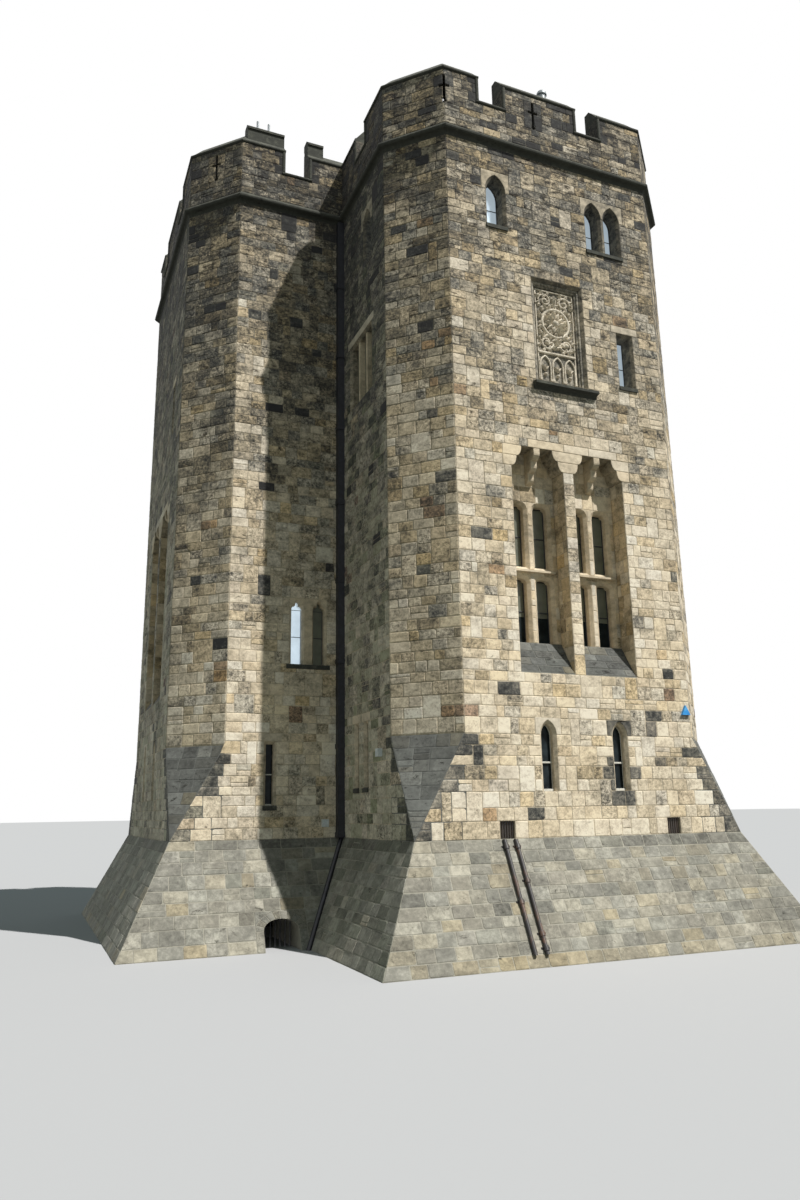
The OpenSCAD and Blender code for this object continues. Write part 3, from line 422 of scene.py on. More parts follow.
def lay_courses(place, levels, left, right, openings, kind_of, dice, masonry, edge_kind=None,
                shortest=None, longest=None, stain=0.0, tall_share=0.07):
    """Lays coursed stones between two edges that may slope. place(x, z, depth) is the 3-D point."""
    shortest = shortest or masonry.stone_min
    longest = longest or masonry.stone_max
    gap = masonry.joint / 2
    stones, taken = [], []
    for row, (low, high) in enumerate(zip(levels, levels[1:])):
        l0, l1, r0, r1 = left(low), left(high), right(low), right(high)
        mean_l, mean_r = (l0 + l1) / 2, (r0 + r1) / 2
        holes = openings + [(a, b, low, high, None) for a, b in taken]
        taken = []
        if high - low < LOWEST_COURSE or mean_r - mean_l < NARROWEST_ROW:
            continue
        above = levels[row + 2] if row + 2 < len(levels) else None
        for a, b, jamb_a, jamb_b in free_spans(mean_l, mean_r, low, high, holes):
            for x0, x1, jamb in split_span(a, b, shortest, longest, jamb_a, jamb_b, row % 2, dice):
                at_left, at_right = abs(x0 - mean_l) < 1e-6, abs(x1 - mean_r) < 1e-6
                top = high
                if above and not (jamb or at_left or at_right) and above - low < TALLEST_STONE:
                    if dice.random() < tall_share and not any(
                            h[0] < x1 and h[1] > x0 and h[2] < above and h[3] > low for h in openings):
                        if x0 > left(above) + 0.05 and x1 < right(above) - 0.05:
                            top = above
                            taken.append((x0, x1))
                kind = jamb or kind_of((x0 + x1) / 2, (low + top) / 2, dice)
                if edge_kind and (at_left or at_right):
                    kind = edge_kind((low + high) / 2, at_left, dice) or kind
                cuts = [low, top]
                if not jamb and dice.random() < SPLIT_SHARE:
                    cuts.insert(1, low + (top - low) * dice.uniform(SPLIT_FROM, SPLIT_TO))
                for z0, z1 in zip(cuts, cuts[1:]):
                    t0, t1 = (z0 - low) / (high - low), (z1 - low) / (high - low)
                    corners = [(l0 + (l1 - l0) * t0 if at_left else x0, z0),
                               (r0 + (r1 - r0) * t0 if at_right else x1, z0),
                               (r0 + (r1 - r0) * t1 if at_right else x1, z1),
                               (l0 + (l1 - l0) * t1 if at_left else x0, z1)]
                    corners = [(x + (gap if k in (0, 3) else -gap), z + (gap if k < 2 else -gap))
                               for k, (x, z) in enumerate(corners)]
                    if min(corners[1][0] - corners[0][0],
                           corners[2][0] - corners[3][0]) < NARROWEST_STONE:
                        continue
                    depth = dice.uniform(LEAST_INSET, LEAST_INSET + masonry.uneven)
                    outline = worn_outline(corners, masonry, dice)
                    stones.append(Stone([place(x, z, depth) for x, z in outline],
                                        stone_mix(kind, dice, stain), ((x0 + x1) / 2, (z0 + z1) / 2)))
    return stones


# How far inside its plane the outline of a stone lies, where nothing else is said
INSET = 0.005
# Share of a stone's rise in the first of its two insets, and how much wider the second one is
FIRST_LIFT, SECOND_EDGE = 0.75, 2.2


def straight(x):
    """Upright edge at x for a stretch of coursed stones."""
    return lambda z: x


def upright(of, depth=0.0):
    """Maps x and z of a face to 3-D, a little inside the plane at that depth."""
    def place(x, z, inset=INSET):
        return of.at(x, depth + inset, z)
    return place


def cut_stone(place, points, kind, dice):
    return Stone([place(x, z) for x, z in points], stone_mix(kind, dice))


def rectangle(place, x0, x1, z0, z1, kind, dice, gap=0.004):
    return cut_stone(place, [(x0 + gap, z0 + gap), (x1 - gap, z0 + gap), (x1 - gap, z1 - gap),
                             (x0 + gap, z1 - gap)], kind, dice)


def build_stones(name, stones, material, masonry, rise=None):
    """Makes all stones of a piece: outlines, then two edit-mode insets that ease their edges."""
    rise = rise or masonry.rise
    verts, faces = [], []
    for stone in stones:
        faces.append(tuple(range(len(verts), len(verts) + len(stone.points))))
        verts.extend(stone.points)
    mesh = bpy.data.meshes.new(name)
    mesh.from_pydata(verts, [], faces)
    mix = mesh.attributes.new("stone_mix", "FLOAT_COLOR", "FACE")
    mix.data.foreach_set("color", [c for stone in stones for c in stone.mix])
    obj = bpy.data.objects.new(name, mesh)
    bpy.context.scene.collection.objects.link(obj)
    only(obj)
    bpy.ops.object.mode_set(mode="EDIT")
    bpy.ops.mesh.select_mode(type="FACE")
    bpy.ops.mesh.select_all(action="SELECT")
    bpy.ops.mesh.inset(thickness=masonry.edge, depth=rise * FIRST_LIFT + INSET, use_individual=True)
    bpy.ops.mesh.inset(thickness=masonry.edge * SECOND_EDGE, depth=rise * (1 - FIRST_LIFT),
                       use_individual=True)
    bpy.ops.object.mode_set(mode="OBJECT")
    low, high = CAD_BOX
    for vertex in obj.data.vertices:
        vertex.co = [min(max(vertex.co[k], low[k] + 0.001), high[k] - 0.001) for k in range(3)]
    return finish_piece(obj, material)


# Openings, as the solids have them
SPLAY = 0.08


class Window:
    """Opening with one or more equal lights: clear width, height, foot and depth of its glass."""

    def __init__(self, w, h, z, glass, pointed=False, offsets=(0.0,)):
        self.w, self.h, self.z, self.glass = w, h, z, glass
        self.pointed, self.offsets = pointed, offsets
        self.half = offsets[-1] + w / 2 + SPLAY
        self.spring = z + h - (w * math.sqrt(3) / 2 if pointed else -SPLAY)
        self.apex = z + lancet(w, h, SPLAY)[7][1] if pointed else z + h + SPLAY

    def head(self, side, up):
        """The block over it: half width, foot and top."""
        return self.half + side, self.spring, self.apex + up


LOW_LANCET = Window(0.38, 1.90, 4.30, 0.24, True)
HIGH_LANCET = Window(0.59, 1.78, 22.15, 0.50, True)
TWIN = Window(0.52, 1.78, 22.15, 0.50, True, (-0.38, 0.38))
SQUARE = Window(0.50, 1.84, 17.29, 0.50)
SIDE_SLIT = Window(0.24, 1.88, 17.29, 0.50)
SET_SLIT = Window(0.24, 1.88, 4.05, 0.24)
PAIR_SLIT = Window(0.24, 1.88, 4.53, 0.24)
TRIPLE = Window(1.96, 2.30, 17.20, 0.29)
LOW_XS = (MIDDLE - 1.22, MIDDLE + 1.22)
HIGH_X = MIDDLE - 2.13
TWIN_X = MIDDLE + 2.01
SQUARE_X = MIDDLE + 2.555
SIDE_SLIT_X = MIDDLE + 2.07
SET_SLIT_X = SIDE_STEP - 2.39
PAIR_XS = (1.34, 2.15)
TRIPLE_X = 1.88
RETURN_LANCET_X = 2.56
CUSPED_X, CUSPED_W, CUSPED_Z, CUSPED_H = SIDE_STEP - 1.19, 1.26, 8.50, 2.20
CUSPED_LIGHT_W, CUSPED_OFFSET = 0.37, 0.37
VENT_XS = (MIDDLE - 2.66, MIDDLE + 2.935)
VENT_W = 0.47
NICHE_XS = (4.33, 6.52)
NICHE_W, NICHE_Z, NICHE_TOP, NICHE_DEEP = 1.82, 7.63, 14.60, 0.62
ROLL_W, ROLL_H = 0.185, 0.34
SILL_RISE, TRACERY_T = 1.0, 0.30
LINTEL, LINTEL_JOINTS = (4.02, 7.29, 14.60, 14.87), (5.31, 6.22)
LIGHT_W, LIGHT_H, LIGHT_SPLAY, MULLION_W, TRANSOM_H = 0.50, 1.98, 0.09, 0.15, 0.37
LIGHT_XS = (-(LIGHT_W + MULLION_W) / 2 - LIGHT_SPLAY, (LIGHT_W + MULLION_W) / 2 + LIGHT_SPLAY)
LIGHT_ZS = (NICHE_Z + SILL_RISE, NICHE_Z + SILL_RISE + LIGHT_H + TRANSOM_H)
PANEL_HALF, PANEL_LOW, PANEL_HIGH = 0.89, 16.95, 20.50
LEDGE = (MIDDLE + 0.09 - 1.165, MIDDLE + 0.09 + 1.165, 16.60, 16.88)
CROSS_LOW, CROSS_HIGH, CROSS_ARM_Z = CRENEL_Z - 0.35, CRENEL_Z + 0.73, CRENEL_Z + 0.27
CROSS_HALF, CROSS_ARM, CROSS_W, CROSS_FOOT = 0.35, 0.18, 0.045, 0.085
FRONT_SLIT_X = 4.9
# Half the width that the lining leaves free round a slit
SLIT_INSIDE = 0.1
# Middle of the roof flue, along the front face and behind it
FLUE_AT = (6.02, 1.05)
CORBEL_STEPS = 4


def windows(i):
    """Windows of face i: middle, window, kinds of head and jambs, and the head's margins."""
    kind, found = i % 4, []
    if kind in (0, 1):
        found += [(LOW_XS[0], LOW_LANCET, "pale", "pale", 0.16, 0.08),
                  (LOW_XS[1], LOW_LANCET, "black", "cream", 0.17, 0.04)]
    if kind == 0:
        found += [(HIGH_X, HIGH_LANCET, "worn", "grey", 0.14, 0.12),
                  (TWIN_X, TWIN, "worn", "grey", 0.14, 0.12),
                  (SQUARE_X, SQUARE, "worn", "worn", 0.2, 0.26)]
    if kind == 1:
        found += [(SIDE_SLIT_X, SIDE_SLIT, "dressed", "worn", 0.18, 0.26)]
    if kind == 2:
        found += [(SET_SLIT_X, SET_SLIT, "dressed", "cream", 0.18, 0.26)]
    if kind == 3:
        found += [(x, PAIR_SLIT, "dressed", "cream", 0.18, 0.26) for x in PAIR_XS]
        found += [(TRIPLE_X, TRIPLE, "dressed", "worn", 0.18, 0.26),
                  (RETURN_LANCET_X, HIGH_LANCET, "worn", "grey", 0.14, 0.12)]
    return found


def face_openings(i):
    """What the coursed stones of face i leave free: x0, x1, z0, z1 and the kind of the jambs."""
    kind, rects = i % 4, []
    for x, window, _, jamb, side, up in windows(i):
        half, foot, top = window.head(side, up)
        rects += [(x - window.half, x + window.half, window.z, foot, jamb),
                  (x - half, x + half, foot, top, None)]
    if kind in (0, 1):
        for x in NICHE_XS:
            rects.append((x - NICHE_W / 2, x + NICHE_W / 2, NICHE_Z, NICHE_TOP, "pale"))
        rects.append((NICHE_XS[0] - NICHE_W / 2 - 0.3, NICHE_XS[1] + NICHE_W / 2 + 0.3,
                      NICHE_TOP - 2 * ROLL_H, NICHE_TOP, None))
        rects.append((*LINTEL, None))
    if kind == 0:
        rects += [(x - VENT_W / 2, x + VENT_W / 2, PLINTH_TOP, PLINTH_TOP + VENT_W, "cream")
                  for x in VENT_XS]
        if i == FRONT:
            rects += [(MIDDLE - PANEL_HALF - SPLAY, MIDDLE + PANEL_HALF + SPLAY, PANEL_LOW,
                       PANEL_HIGH + SPLAY, "pale"), (*LEDGE, None)]
    if kind == 2:
        rects += [(CUSPED_X - CUSPED_W / 2, CUSPED_X + CUSPED_W / 2, CUSPED_Z, CUSPED_Z + CUSPED_H,
                   "dressed")]
    return rects


def face_marks(i):
    """Heights at which a bed joint meets an opening."""
    marks = {PLINTH_TOP, WALL_TOP}
    for _, window, _, _, side, up in windows(i):
        marks |= {window.z, window.spring, window.head(side, up)[2]}
    kind = i % 4
    if kind in (0, 1):
        marks |= {NICHE_Z, NICHE_TOP - 2 * ROLL_H, NICHE_TOP - ROLL_H, NICHE_TOP, LINTEL[3]}
    if kind == 0:
        marks |= {PLINTH_TOP + VENT_W, LEDGE[2], PANEL_LOW, PANEL_HIGH + SPLAY}
    if kind == 2:
        marks |= {CUSPED_Z, CUSPED_Z + CUSPED_H}
    result = []
    for mark in sorted(marks):
        if not result or mark - result[-1] > 0.06:
            result.append(mark)
    return result


def stop_slope(z):
    """How far the sloping stop takes the face from its square corner at height z."""
    return CUT * min(1.0, max(0.0, (z - PLINTH_TOP) / STOP_H))


def wall_edges(i):
    def left(z):
        return 0.0 if STARTS_INSIDE[i] else stop_slope(z)

    def right(z):
        return FACE_LEN[i] - (0.0 if ENDS_INSIDE[i] else stop_slope(z))
    return left, right


# Share of the edge stones that are dark beside a stop and pale above it, and how far up the wall
# the pale ones go
DARK_TEETH, PALE_ARRIS, PALE_REACH = 0.75, 0.4, 0.7


def edge_kinds(i):
    """Dark stop slabs tooth into the wall beside them, and arrises above them are pale."""
    def kind(z, at_left, dice):
        if STARTS_INSIDE[i] if at_left else ENDS_INSIDE[i]:
            return None
        if z < PLINTH_TOP + STOP_H - 0.1:
            return "slate" if dice.random() < DARK_TEETH else None
        pale_to = PLINTH_TOP + PALE_REACH * (WALL_TOP - PLINTH_TOP)
        return "pale" if z < pale_to and dice.random() < PALE_ARRIS else None
    return kind


# Stones that stand out, by face: x, z, how far from it they are taken, and their kind
MARKED = {
    FRONT: [(6.28, 5.24, 0.2, "slate"), (6.20, 4.2, 0.3, "slate"), (6.77, 4.15, 0.35, "slate"),
            (7.1, 4.86, 0.15, "slate"), (6.42, 4.86, 0.15, "slate"), (5.98, 4.53, 0.15, "pitted"),
            (7.94, 6.39, 0.2, "black"), (7.39, 6.37, 0.2, "pitted"), (8.61, 6.36, 0.2, "pitted"),
            (7.97, 6.13, 0.15, "slate"), (2.9, 7.04, 0.25, "black"), (2.02, 7.4, 0.2, "brown"),
            (2.76, 7.71, 0.2, "grey"), (1.93, 5.25, 0.2, "black"), (5.57, 5.86, 0.2, "pitted"),
            (8.14, 4.24, 0.2, "pitted"), (8.44, 7.71, 0.2, "black"), (6.94, 6.76, 0.2, "pitted"),
            (8.5, 7.36, 0.1, "rust"), (2.17, 3.58, 0.15, "orange"), (4.29, 6.69, 0.25, "worn"),
            (1.84, 15.35, 0.2, "gold"), (1.94, 14.38, 0.2, "gold"), (3.12, 14.41, 0.2, "gold"),
            (1.95, 11.57, 0.2, "gold"), (3.66, 14.98, 0.2, "pale"), (2.55, 11.67, 0.2, "slate"),
            (4.8, 15.31, 0.1, "orange"), (2.51, 10.65, 0.1, "orange")],
    SET_BACK: [(3.69, 7.08, 0.2, "rust")],
}
# The same for the cut corner at the start of a face
MARKED_CUTS = {
    FRONT: [(1.26, 12.48, 0.3, "rust"), (0.18, 17.61, 0.2, "gold"), (1.29, 13.78, 0.3, "gold"),
            (1.72, 13.39, 0.3, "slate"), (1.87, 6.39, 0.25, "rust")],
    SET_BACK: [(1.44, 13.1, 0.25, "orange"), (1.93, 8.22, 0.25, "orange")],
}


def mark_stones(stones, marks, dice):
    """Gives the stones that stand out their kinds."""
    for x, z, reach, kind in marks:
        near = [s for s in stones if math.hypot(s.middle[0] - x, s.middle[1] - z) < reach]
        best = min(stones, key=lambda s: math.hypot(s.middle[0] - x, s.middle[1] - z))
        for stone in near or [best]:
            stone.mix = stone_mix(kind, dice)


def add_grime_and_shade(stones, i, extra=0.0):
    """Darkens stones by the grime and painted shade of face i at their height."""
    low, high = GRIME_AND_SHADE[i]
    for stone in stones:
        t = min(1.0, max(0.0, (stone.middle[1] - PLINTH_TOP) / (WALL_TOP - PLINTH_TOP)))
        place = stone.mix[0] - low - (high - low) * t - extra
        stone.mix = (max(0.0, place), *stone.mix[1:])
    return stones


# Marks of the weather on stone: size in mm, detail, roughness, distortion, how much flatter than
# wide they are, and whether each stone has its own. The speck's size is given by each stone.
WEATHER = {
    "speck": (None, 6, 0.74, 0.3, 1.0, True),
    "patch": (1700, 2, 0.5, 0.0, 1.0, False),
    "cloud": (420, 5, 0.66, 0.4, 1.6, False),
    "grain": (17, 2, 0.6, 0.0, 1.0, False),
    "hollow": (62, 4, 0.66, 0.5, 1.9, True),
    "sheet": (380, 7, 0.76, 0.5, 2.2, False),
}
# Heights between which soot and crust grow, in metres
SOOT_HEIGHTS = (8.0, 27.0)
# Spread of the tones: mottling of a stone, drift over the wall, and clouds
SPECK_SPREAD, PATCH_SPREAD, CLOUD_SPREAD = 2.0, 0.5, 0.95
# Mottling of a sound stone, and how much full pitting adds to it
SOUND_MOTTLE, PITTED_MOTTLE = 0.3, 0.9
# How far apart the marks of two stones lie, so that none runs on from one into the next
OWN_MARKS = 97.0
# How hard the edges of pits and of the crust are
PIT_EDGE, CRUST_EDGE = 6.0, 11.0
MOSS_MM, MOSS_EDGE = 260, (0.5, 0.68)
MM_PER_M = 1000.0


def start_material(name):
    material = bpy.data.materials.new(name)
    material.use_nodes = True
    tree = material.node_tree
    tree.nodes.clear()
    return material, tree


def end_material(tree, colour, height, bump_mm, rough, metallic=0.0, **sockets):
    """Ends a material in its shader. Sockets are values that are the same all over it."""
    bump = add_node(tree, "Bump", {"Strength": 1.0, "Distance": bump_mm / MM_PER_M, "Height": height})
    shader = add_node(tree, "BsdfPrincipled", {
        "Base Color": colour, "Metallic": metallic, "Roughness": rough, "Normal": bump,
        **{key.replace("_", " "): value for key, value in sockets.items()}})
    add_node(tree, "OutputMaterial", {"Surface": shader})


def weather_marks(tree, coord, speck_mm, own):
    """The marks of WEATHER as nodes, by name."""
    marks = {}
    for mark, (size_mm, detail, rough, distortion, flatter, single) in WEATHER.items():
        vector = coord
        if flatter != 1.0:
            vector = add_node(tree, "Mapping", {"Vector": coord, "Scale": (1.0, 1.0, flatter)})
        inputs = {"Vector": vector, "Scale": MM_PER_M / (size_mm or speck_mm), "Detail": detail,
                  "Roughness": rough, "Distortion": distortion}
        dimensions = "3D"
        if single and own:
            inputs["W"], dimensions = own, "4D"
        marks[mark] = add_node(tree, "TexNoise", inputs, noise_dimensions=dimensions)
    return marks


def stone_tone(tree, marks, place, pits, tall, mottle, soot):
    """Place in the palette: the stone's own, its mottling, a slow drift over the wall, and soot."""
    amount = add_node(tree, "Math", [pits, PITTED_MOTTLE], operation="MULTIPLY")
    amount = add_node(tree, "Math", [amount, SOUND_MOTTLE], operation="ADD")
    value = place
    for mark, spread in (("speck", SPECK_SPREAD * mottle), ("patch", PATCH_SPREAD),
                         ("cloud", CLOUD_SPREAD * mottle)):
        swing = add_node(tree, "Math", [marks[mark], 0.5], operation="SUBTRACT")
        swing = add_node(tree, "Math", [swing, spread], operation="MULTIPLY")
        if mark == "speck":
            swing = add_node(tree, "Math", [swing, amount], operation="MULTIPLY")
        value = add_node(tree, "Math", [value, swing], operation="ADD")
    sooted = add_node(tree, "Math", [tall, soot], operation="MULTIPLY")
    return add_node(tree, "Math", [value, sooted], operation="SUBTRACT", use_clamp=True)


def over_limit(tree, value, limit, edge):
    """Share of a stain: 0 below a limit and 1 soon above it."""
    over = add_node(tree, "Math", [value, limit], operation="SUBTRACT")
    return add_node(tree, "Math", [over, edge], operation="MULTIPLY", use_clamp=True)


def stone_material(name, tones, colours, speck_mm=85, mottle=1.0, soot=0.0, crust=(0.78, 0.78),
                   moss=0.0, bump_mm=9.0, fixed=None):
    """Worn sandstone: mottled and pitted by weather, with dark crust that grows with height.

    crust is its limit low down and high up, and fixed is one mix for the whole surface."""
    material, tree = start_material(name)
    coord = add_node(tree, "TexCoord").outputs["Object"]
    if fixed is None:
        given = add_node(tree, "Attribute", attribute_name="stone_mix").outputs
        parts = add_node(tree, "SeparateColor", [given["Color"]]).outputs
        place, pits, iron, tint = parts[0], parts[1], parts[2], given["Alpha"]
        own = add_node(tree, "Math", [place, pits], operation="ADD")
        own = add_node(tree, "Math", [own, OWN_MARKS], operation="MULTIPLY")
    else:
        place, pits, iron, tint = fixed
        own = None
    tall = add_node(tree, "MapRange", {
        "Value": add_node(tree, "SeparateXYZ", [coord]).outputs["Z"], "From Min": SOOT_HEIGHTS[0],
        "From Max": SOOT_HEIGHTS[1]})
    marks = weather_marks(tree, coord, speck_mm, own)
    tone_place = stone_tone(tree, marks, place, pits, tall, mottle, soot)
    colour = add_node(tree, "ValToRGB", {"Fac": tone_place}, tones)
    # Iron oxides spread with the specks
    rusty = add_node(tree, "Math", [marks["speck"], 0.4], operation="ADD")
    rusty = add_node(tree, "Math", [iron, rusty], operation="MULTIPLY", use_clamp=True)
    # Pits are deeper and wider in the stones that scale off
    edge = add_node(tree, "Math", [pits, 0.2], operation="MULTIPLY")
    edge = add_node(tree, "Math", [0.7, edge], operation="SUBTRACT")
    pit = over_limit(tree, marks["hollow"], edge, PIT_EDGE)
    # Crust lies in ragged sheets along the beds
    limit = add_node(tree, "Math", [tall, crust[1] - crust[0]], operation="MULTIPLY")
    limit = add_node(tree, "Math", [crust[0], limit], operation="ADD")
    cover = over_limit(tree, marks["sheet"], limit, CRUST_EDGE)
    # The damp tint darkens and greens stones: damp and algae, and also painted shade with a green cast
    # of bounced light
    for share, stain in ((over_limit(tree, tint, 0.5, 2.0), colours.warm),
                         (over_limit(tree, 0.5, tint, 2.0), colours.damp_green_shade),
                         (rusty, colours.iron_stain), (pit, colours.pit), (cover, colours.crust)):
        colour = add_node(tree, "Mix", {0: share, 6: colour, 7: stain},
                          data_type="RGBA", blend_type="MULTIPLY").outputs[2]
    if moss:
        up = add_node(tree, "SeparateXYZ", [add_node(tree, "NewGeometry").outputs["Normal"]])
        up = add_node(tree, "Math", [up.outputs["Z"], 0.16], operation="MULTIPLY")
        grown = add_node(tree, "TexNoise", {"Vector": coord, "Scale": MM_PER_M / MOSS_MM,
                                            "Detail": 6, "Roughness": 0.7})
        grown = add_node(tree, "Math", [grown, up], operation="ADD")
        grown = add_node(tree, "MapRange", {
            "Value": grown, "From Min": MOSS_EDGE[0], "From Max": MOSS_EDGE[1], "To Max": moss},
            interpolation_type="SMOOTHSTEP")
        colour = add_node(tree, "Mix", {0: grown, 6: colour, 7: colours.moss}, data_type="RGBA",
                          blend_type="MIX").outputs[2]
    height = add_node(tree, "Math", [marks["grain"], 0.25], operation="MULTIPLY")
    height = add_node(tree, "Math", [marks["speck"], height], operation="ADD")
    depth = add_node(tree, "Math", [pit, 0.7], operation="MULTIPLY")
    height = add_node(tree, "Math", [height, depth], operation="SUBTRACT")
    end_material(tree, colour, height, bump_mm, 0.92)
    return material


def plain_material(name, colours, size_mm, rough, bump_mm=0.5, metallic=0.0, scale=(1, 1, 1),
                   **sockets):
    """Finish with marks of a real size in three tones."""
    material, tree = start_material(name)
    coord = add_node(tree, "TexCoord").outputs["Object"]
    vector = add_node(tree, "Mapping", {"Vector": coord, "Scale": scale})
    marks = add_node(tree, "TexNoise", {"Vector": vector, "Scale": MM_PER_M / size_mm, "Detail": 5,
                                        "Roughness": 0.6})
    stops = [(place, to_linear(c) if isinstance(c, str) else c)
             for place, c in zip((0.34, 0.5, 0.66), colours)]
    colour = add_node(tree, "ValToRGB", {"Fac": marks}, stops)
    end_material(tree, colour, marks, bump_mm, rough, metallic, **sockets)
    return material


def shades(colour, low=0.7, high=1.35):
    """A colour with a darker and a lighter tone of it."""
    return [tuple(min(1.0, c * share) for c in tuple(colour)[:3]) + (1.0,) for share in (low, 1, high)]


def tones_of(colour, low=0.35, high=1.9):
    """Palette round one colour, from its shadows to its bleached edges."""
    dark, mid, light = shades(colour, low, high)
    return [(0.0, dark), (0.55, mid), (1.0, light)]


def make_materials(c):
    """All finishes by short name, from the colours of the panel."""
    wall = [(0.0, c.soot), (0.2, c.wall_dark), (0.4, c.wall_brown), (0.55, c.wall_mid),
            (0.7, c.wall_buff), (0.85, c.wall_pale), (1.0, c.wall_bleached)]
    table = {}
    # Squared local sandstone, hand dressed and weathered: matt, pitted, each block its own tone
    table["wall"] = stone_material("weathered_squared_sandstone", wall, c, soot=0.21,
                                   crust=(0.62, 0.485))
    # Lime mortar and plain wall behind the stones: rough, a little darker than they are
    table["mortar"] = stone_material("lime_mortar", wall, c, speck_mm=140, mottle=0.7, soot=0.4,
                                     crust=(0.64, 0.5), fixed=(0.66, 0.3, 0.0, 0.64))
    # Hard grey-green plinth stone under lichen: one tone with soft blotches
    table["plinth"] = stone_material("lichened_plinth_sandstone", tones_of(c.plinth), c,
                                     speck_mm=130, mottle=1.15, crust=(0.6, 0.6), moss=0.07,
                                     bump_mm=6.0)
    # Lime pointing of the plinth: a little paler than its slabs
    table["plinth_mortar"] = stone_material("plinth_lime_mortar", tones_of(c.plinth), c,
                                            speck_mm=200, mottle=0.5, crust=(0.8, 0.8), moss=0.15,
                                            fixed=(0.68, 0.2, 0.0, 0.56))
    # Dark stop slabs: dense stone under a smooth dark grey weather skin
    table["slab"] = stone_material("blue_black_sandstone_slab", tones_of(c.slab), c, speck_mm=130,
                                   mottle=0.9, crust=(0.56, 0.56), bump_mm=6.0)
    # Pointing of the stop slabs: a little darker than they are
    table["slab_mortar"] = stone_material("slab_mortar", tones_of(c.slab), c, speck_mm=160,
                                          mottle=0.5, crust=(0.7, 0.7),
                                          fixed=(0.42, 0.3, 0.0, 0.5))
    # Finely dressed window stone: smooth, pale and only lightly mottled
    table["dressed"] = stone_material("dressed_sandstone", wall, c, speck_mm=170, mottle=0.6,
                                      crust=(0.74, 0.62), bump_mm=3.0,
                                      fixed=(0.72, 0.2, 0.0, 0.68))
    # The same stone in separate blocks, each with its own tone
    table["dressed_blocks"] = stone_material("dressed_sandstone_blocks", wall, c, speck_mm=170,
                                             mottle=0.6, soot=0.12, crust=(0.74, 0.6), bump_mm=3.0)
    # Mouldings and copings in rain and smoke: dark, with lichen on what faces up
    table["sooty"] = stone_material("sooty_moulded_sandstone", tones_of(c.moulding), c,
                                    speck_mm=130, mottle=0.8, crust=(0.62, 0.58), moss=0.2,
                                    bump_mm=5.0, fixed=(0.5, 0.4, 0.0, 0.46))
    # Sloping sill under its slabs: wet, dark and a little mossy
    table["sill"] = stone_material("wet_sill_slab", tones_of(c.slab), c, speck_mm=190, mottle=0.8,
                                   crust=(0.66, 0.66), moss=0.2, bump_mm=4.0,
                                   fixed=(0.5, 0.3, 0.0, 0.55))
    # Carved panel: bleached stone with little soot on it
    table["carved"] = stone_material("carved_sandstone", wall, c, speck_mm=90, mottle=0.8,
                                     crust=(0.74, 0.6), bump_mm=4.0, fixed=(0.78, 0.35, 0.0, 0.53))
    # Ground behind the carving: the same stone under old soot, made darker still as painted shadow in
    # the deep recess behind the relief
    table["shaded_carved_ground"] = stone_material("sooty_shaded_panel_ground", wall, c, speck_mm=90, mottle=0.8,
                                            crust=(0.6, 0.56), bump_mm=4.0,
                                            fixed=(0.5, 0.5, 0.0, 0.52))
    # Old glass over a dark room: nearly black, with a faint reflection
    table["glass"] = plain_material("old_window_glass", shades(c.glass, 0.6, 1.8), size_mm=420,
                                    rough=0.08, bump_mm=0.4, Specular_IOR_Level=0.08)
    # The same glass with pale blinds close behind it: light where the other is dark. It glows faintly
    # in the blinds' colour, a painted stand-in for daylight through the room and sky on the glass
    table["glowing_pale_glass"] = plain_material("window_glass_over_blinds_painted_glow", shades(c.blind, 0.8, 1.15),
                                         size_mm=520, rough=0.15, bump_mm=0.4, metallic=0.5,
                                         Emission_Color=c.blind, Emission_Strength=0.55)
    # Roller blinds of the hall windows: flat grey-green cloth with a faint sheen
    table["cloth"] = plain_material("grey_green_blind_cloth", shades(c.cloth, 0.75, 1.2),
                                    size_mm=520, rough=0.3, bump_mm=0.3)
    # Cast iron under old black paint: satin, a little paler in clouds
    table["iron"] = plain_material("painted_cast_iron", shades(c.iron, 0.6, 1.7), size_mm=130,
                                   rough=0.5, bump_mm=1.0)
    # White lead paint on the lower casements: soft sheen, a little chalked
    table["white"] = plain_material("chalked_white_paint", ("#b9b8b0", "#cfcec6", "#dddcd5"),
                                    size_mm=60, rough=0.6)
    # Waste pipes: tarred iron, rusted where the coat has gone
    table["rusty"] = plain_material("rusted_tarred_pipe", ("#232325", "#33302f", "#6b4e3c"),
                                    size_mm=260, rough=0.45, bump_mm=1.2, scale=(1, 1, 0.4))
    # Rolled lead sheet: soft grey with paler oxide clouds
    table["lead"] = plain_material("rolled_lead_sheet", ("#63686c", "#6f7478", "#80858a"),
                                   size_mm=900, rough=0.55, bump_mm=1.5, metallic=0.3)
    # Galvanised steel: zinc spangle gone dull, slightly rough
    table["steel"] = plain_material("galvanised_steel", ("#747b80", "#8e959a", "#abb1b5"),
                                    size_mm=45, rough=0.4, bump_mm=0.2, metallic=0.25)
    # Moulded ABS box: even blue, slight sheen
    table["blue"] = plain_material("moulded_blue_abs", ("#2a86d0", "#3297e2", "#58aeee"),
                                   size_mm=160, rough=0.38, bump_mm=0.1)
    # Grey enamelled lamp housing: smooth and faintly chalky
    table["lamp"] = plain_material("grey_lamp_enamel", ("#c3ccd2", "#d8e0e5", "#e6ecef"),
                                   size_mm=120, rough=0.4, bump_mm=0.2)
    # Sawn oak: long grain along the boards
    table["boards"] = plain_material("worn_oak_boards", ("#3f2f20", "#5d4730", "#7a603f"),
                                     size_mm=900, rough=0.6, bump_mm=1.5, scale=(1, 9, 1))
    # Vent slats: oak under old tar, nearly black in its grain
    table["tarred"] = plain_material("tarred_oak_slats", ("#1f1c19", "#332c26", "#4a3f35"),
                                     size_mm=300, rough=0.6, bump_mm=1.0, scale=(1, 1, 0.15))
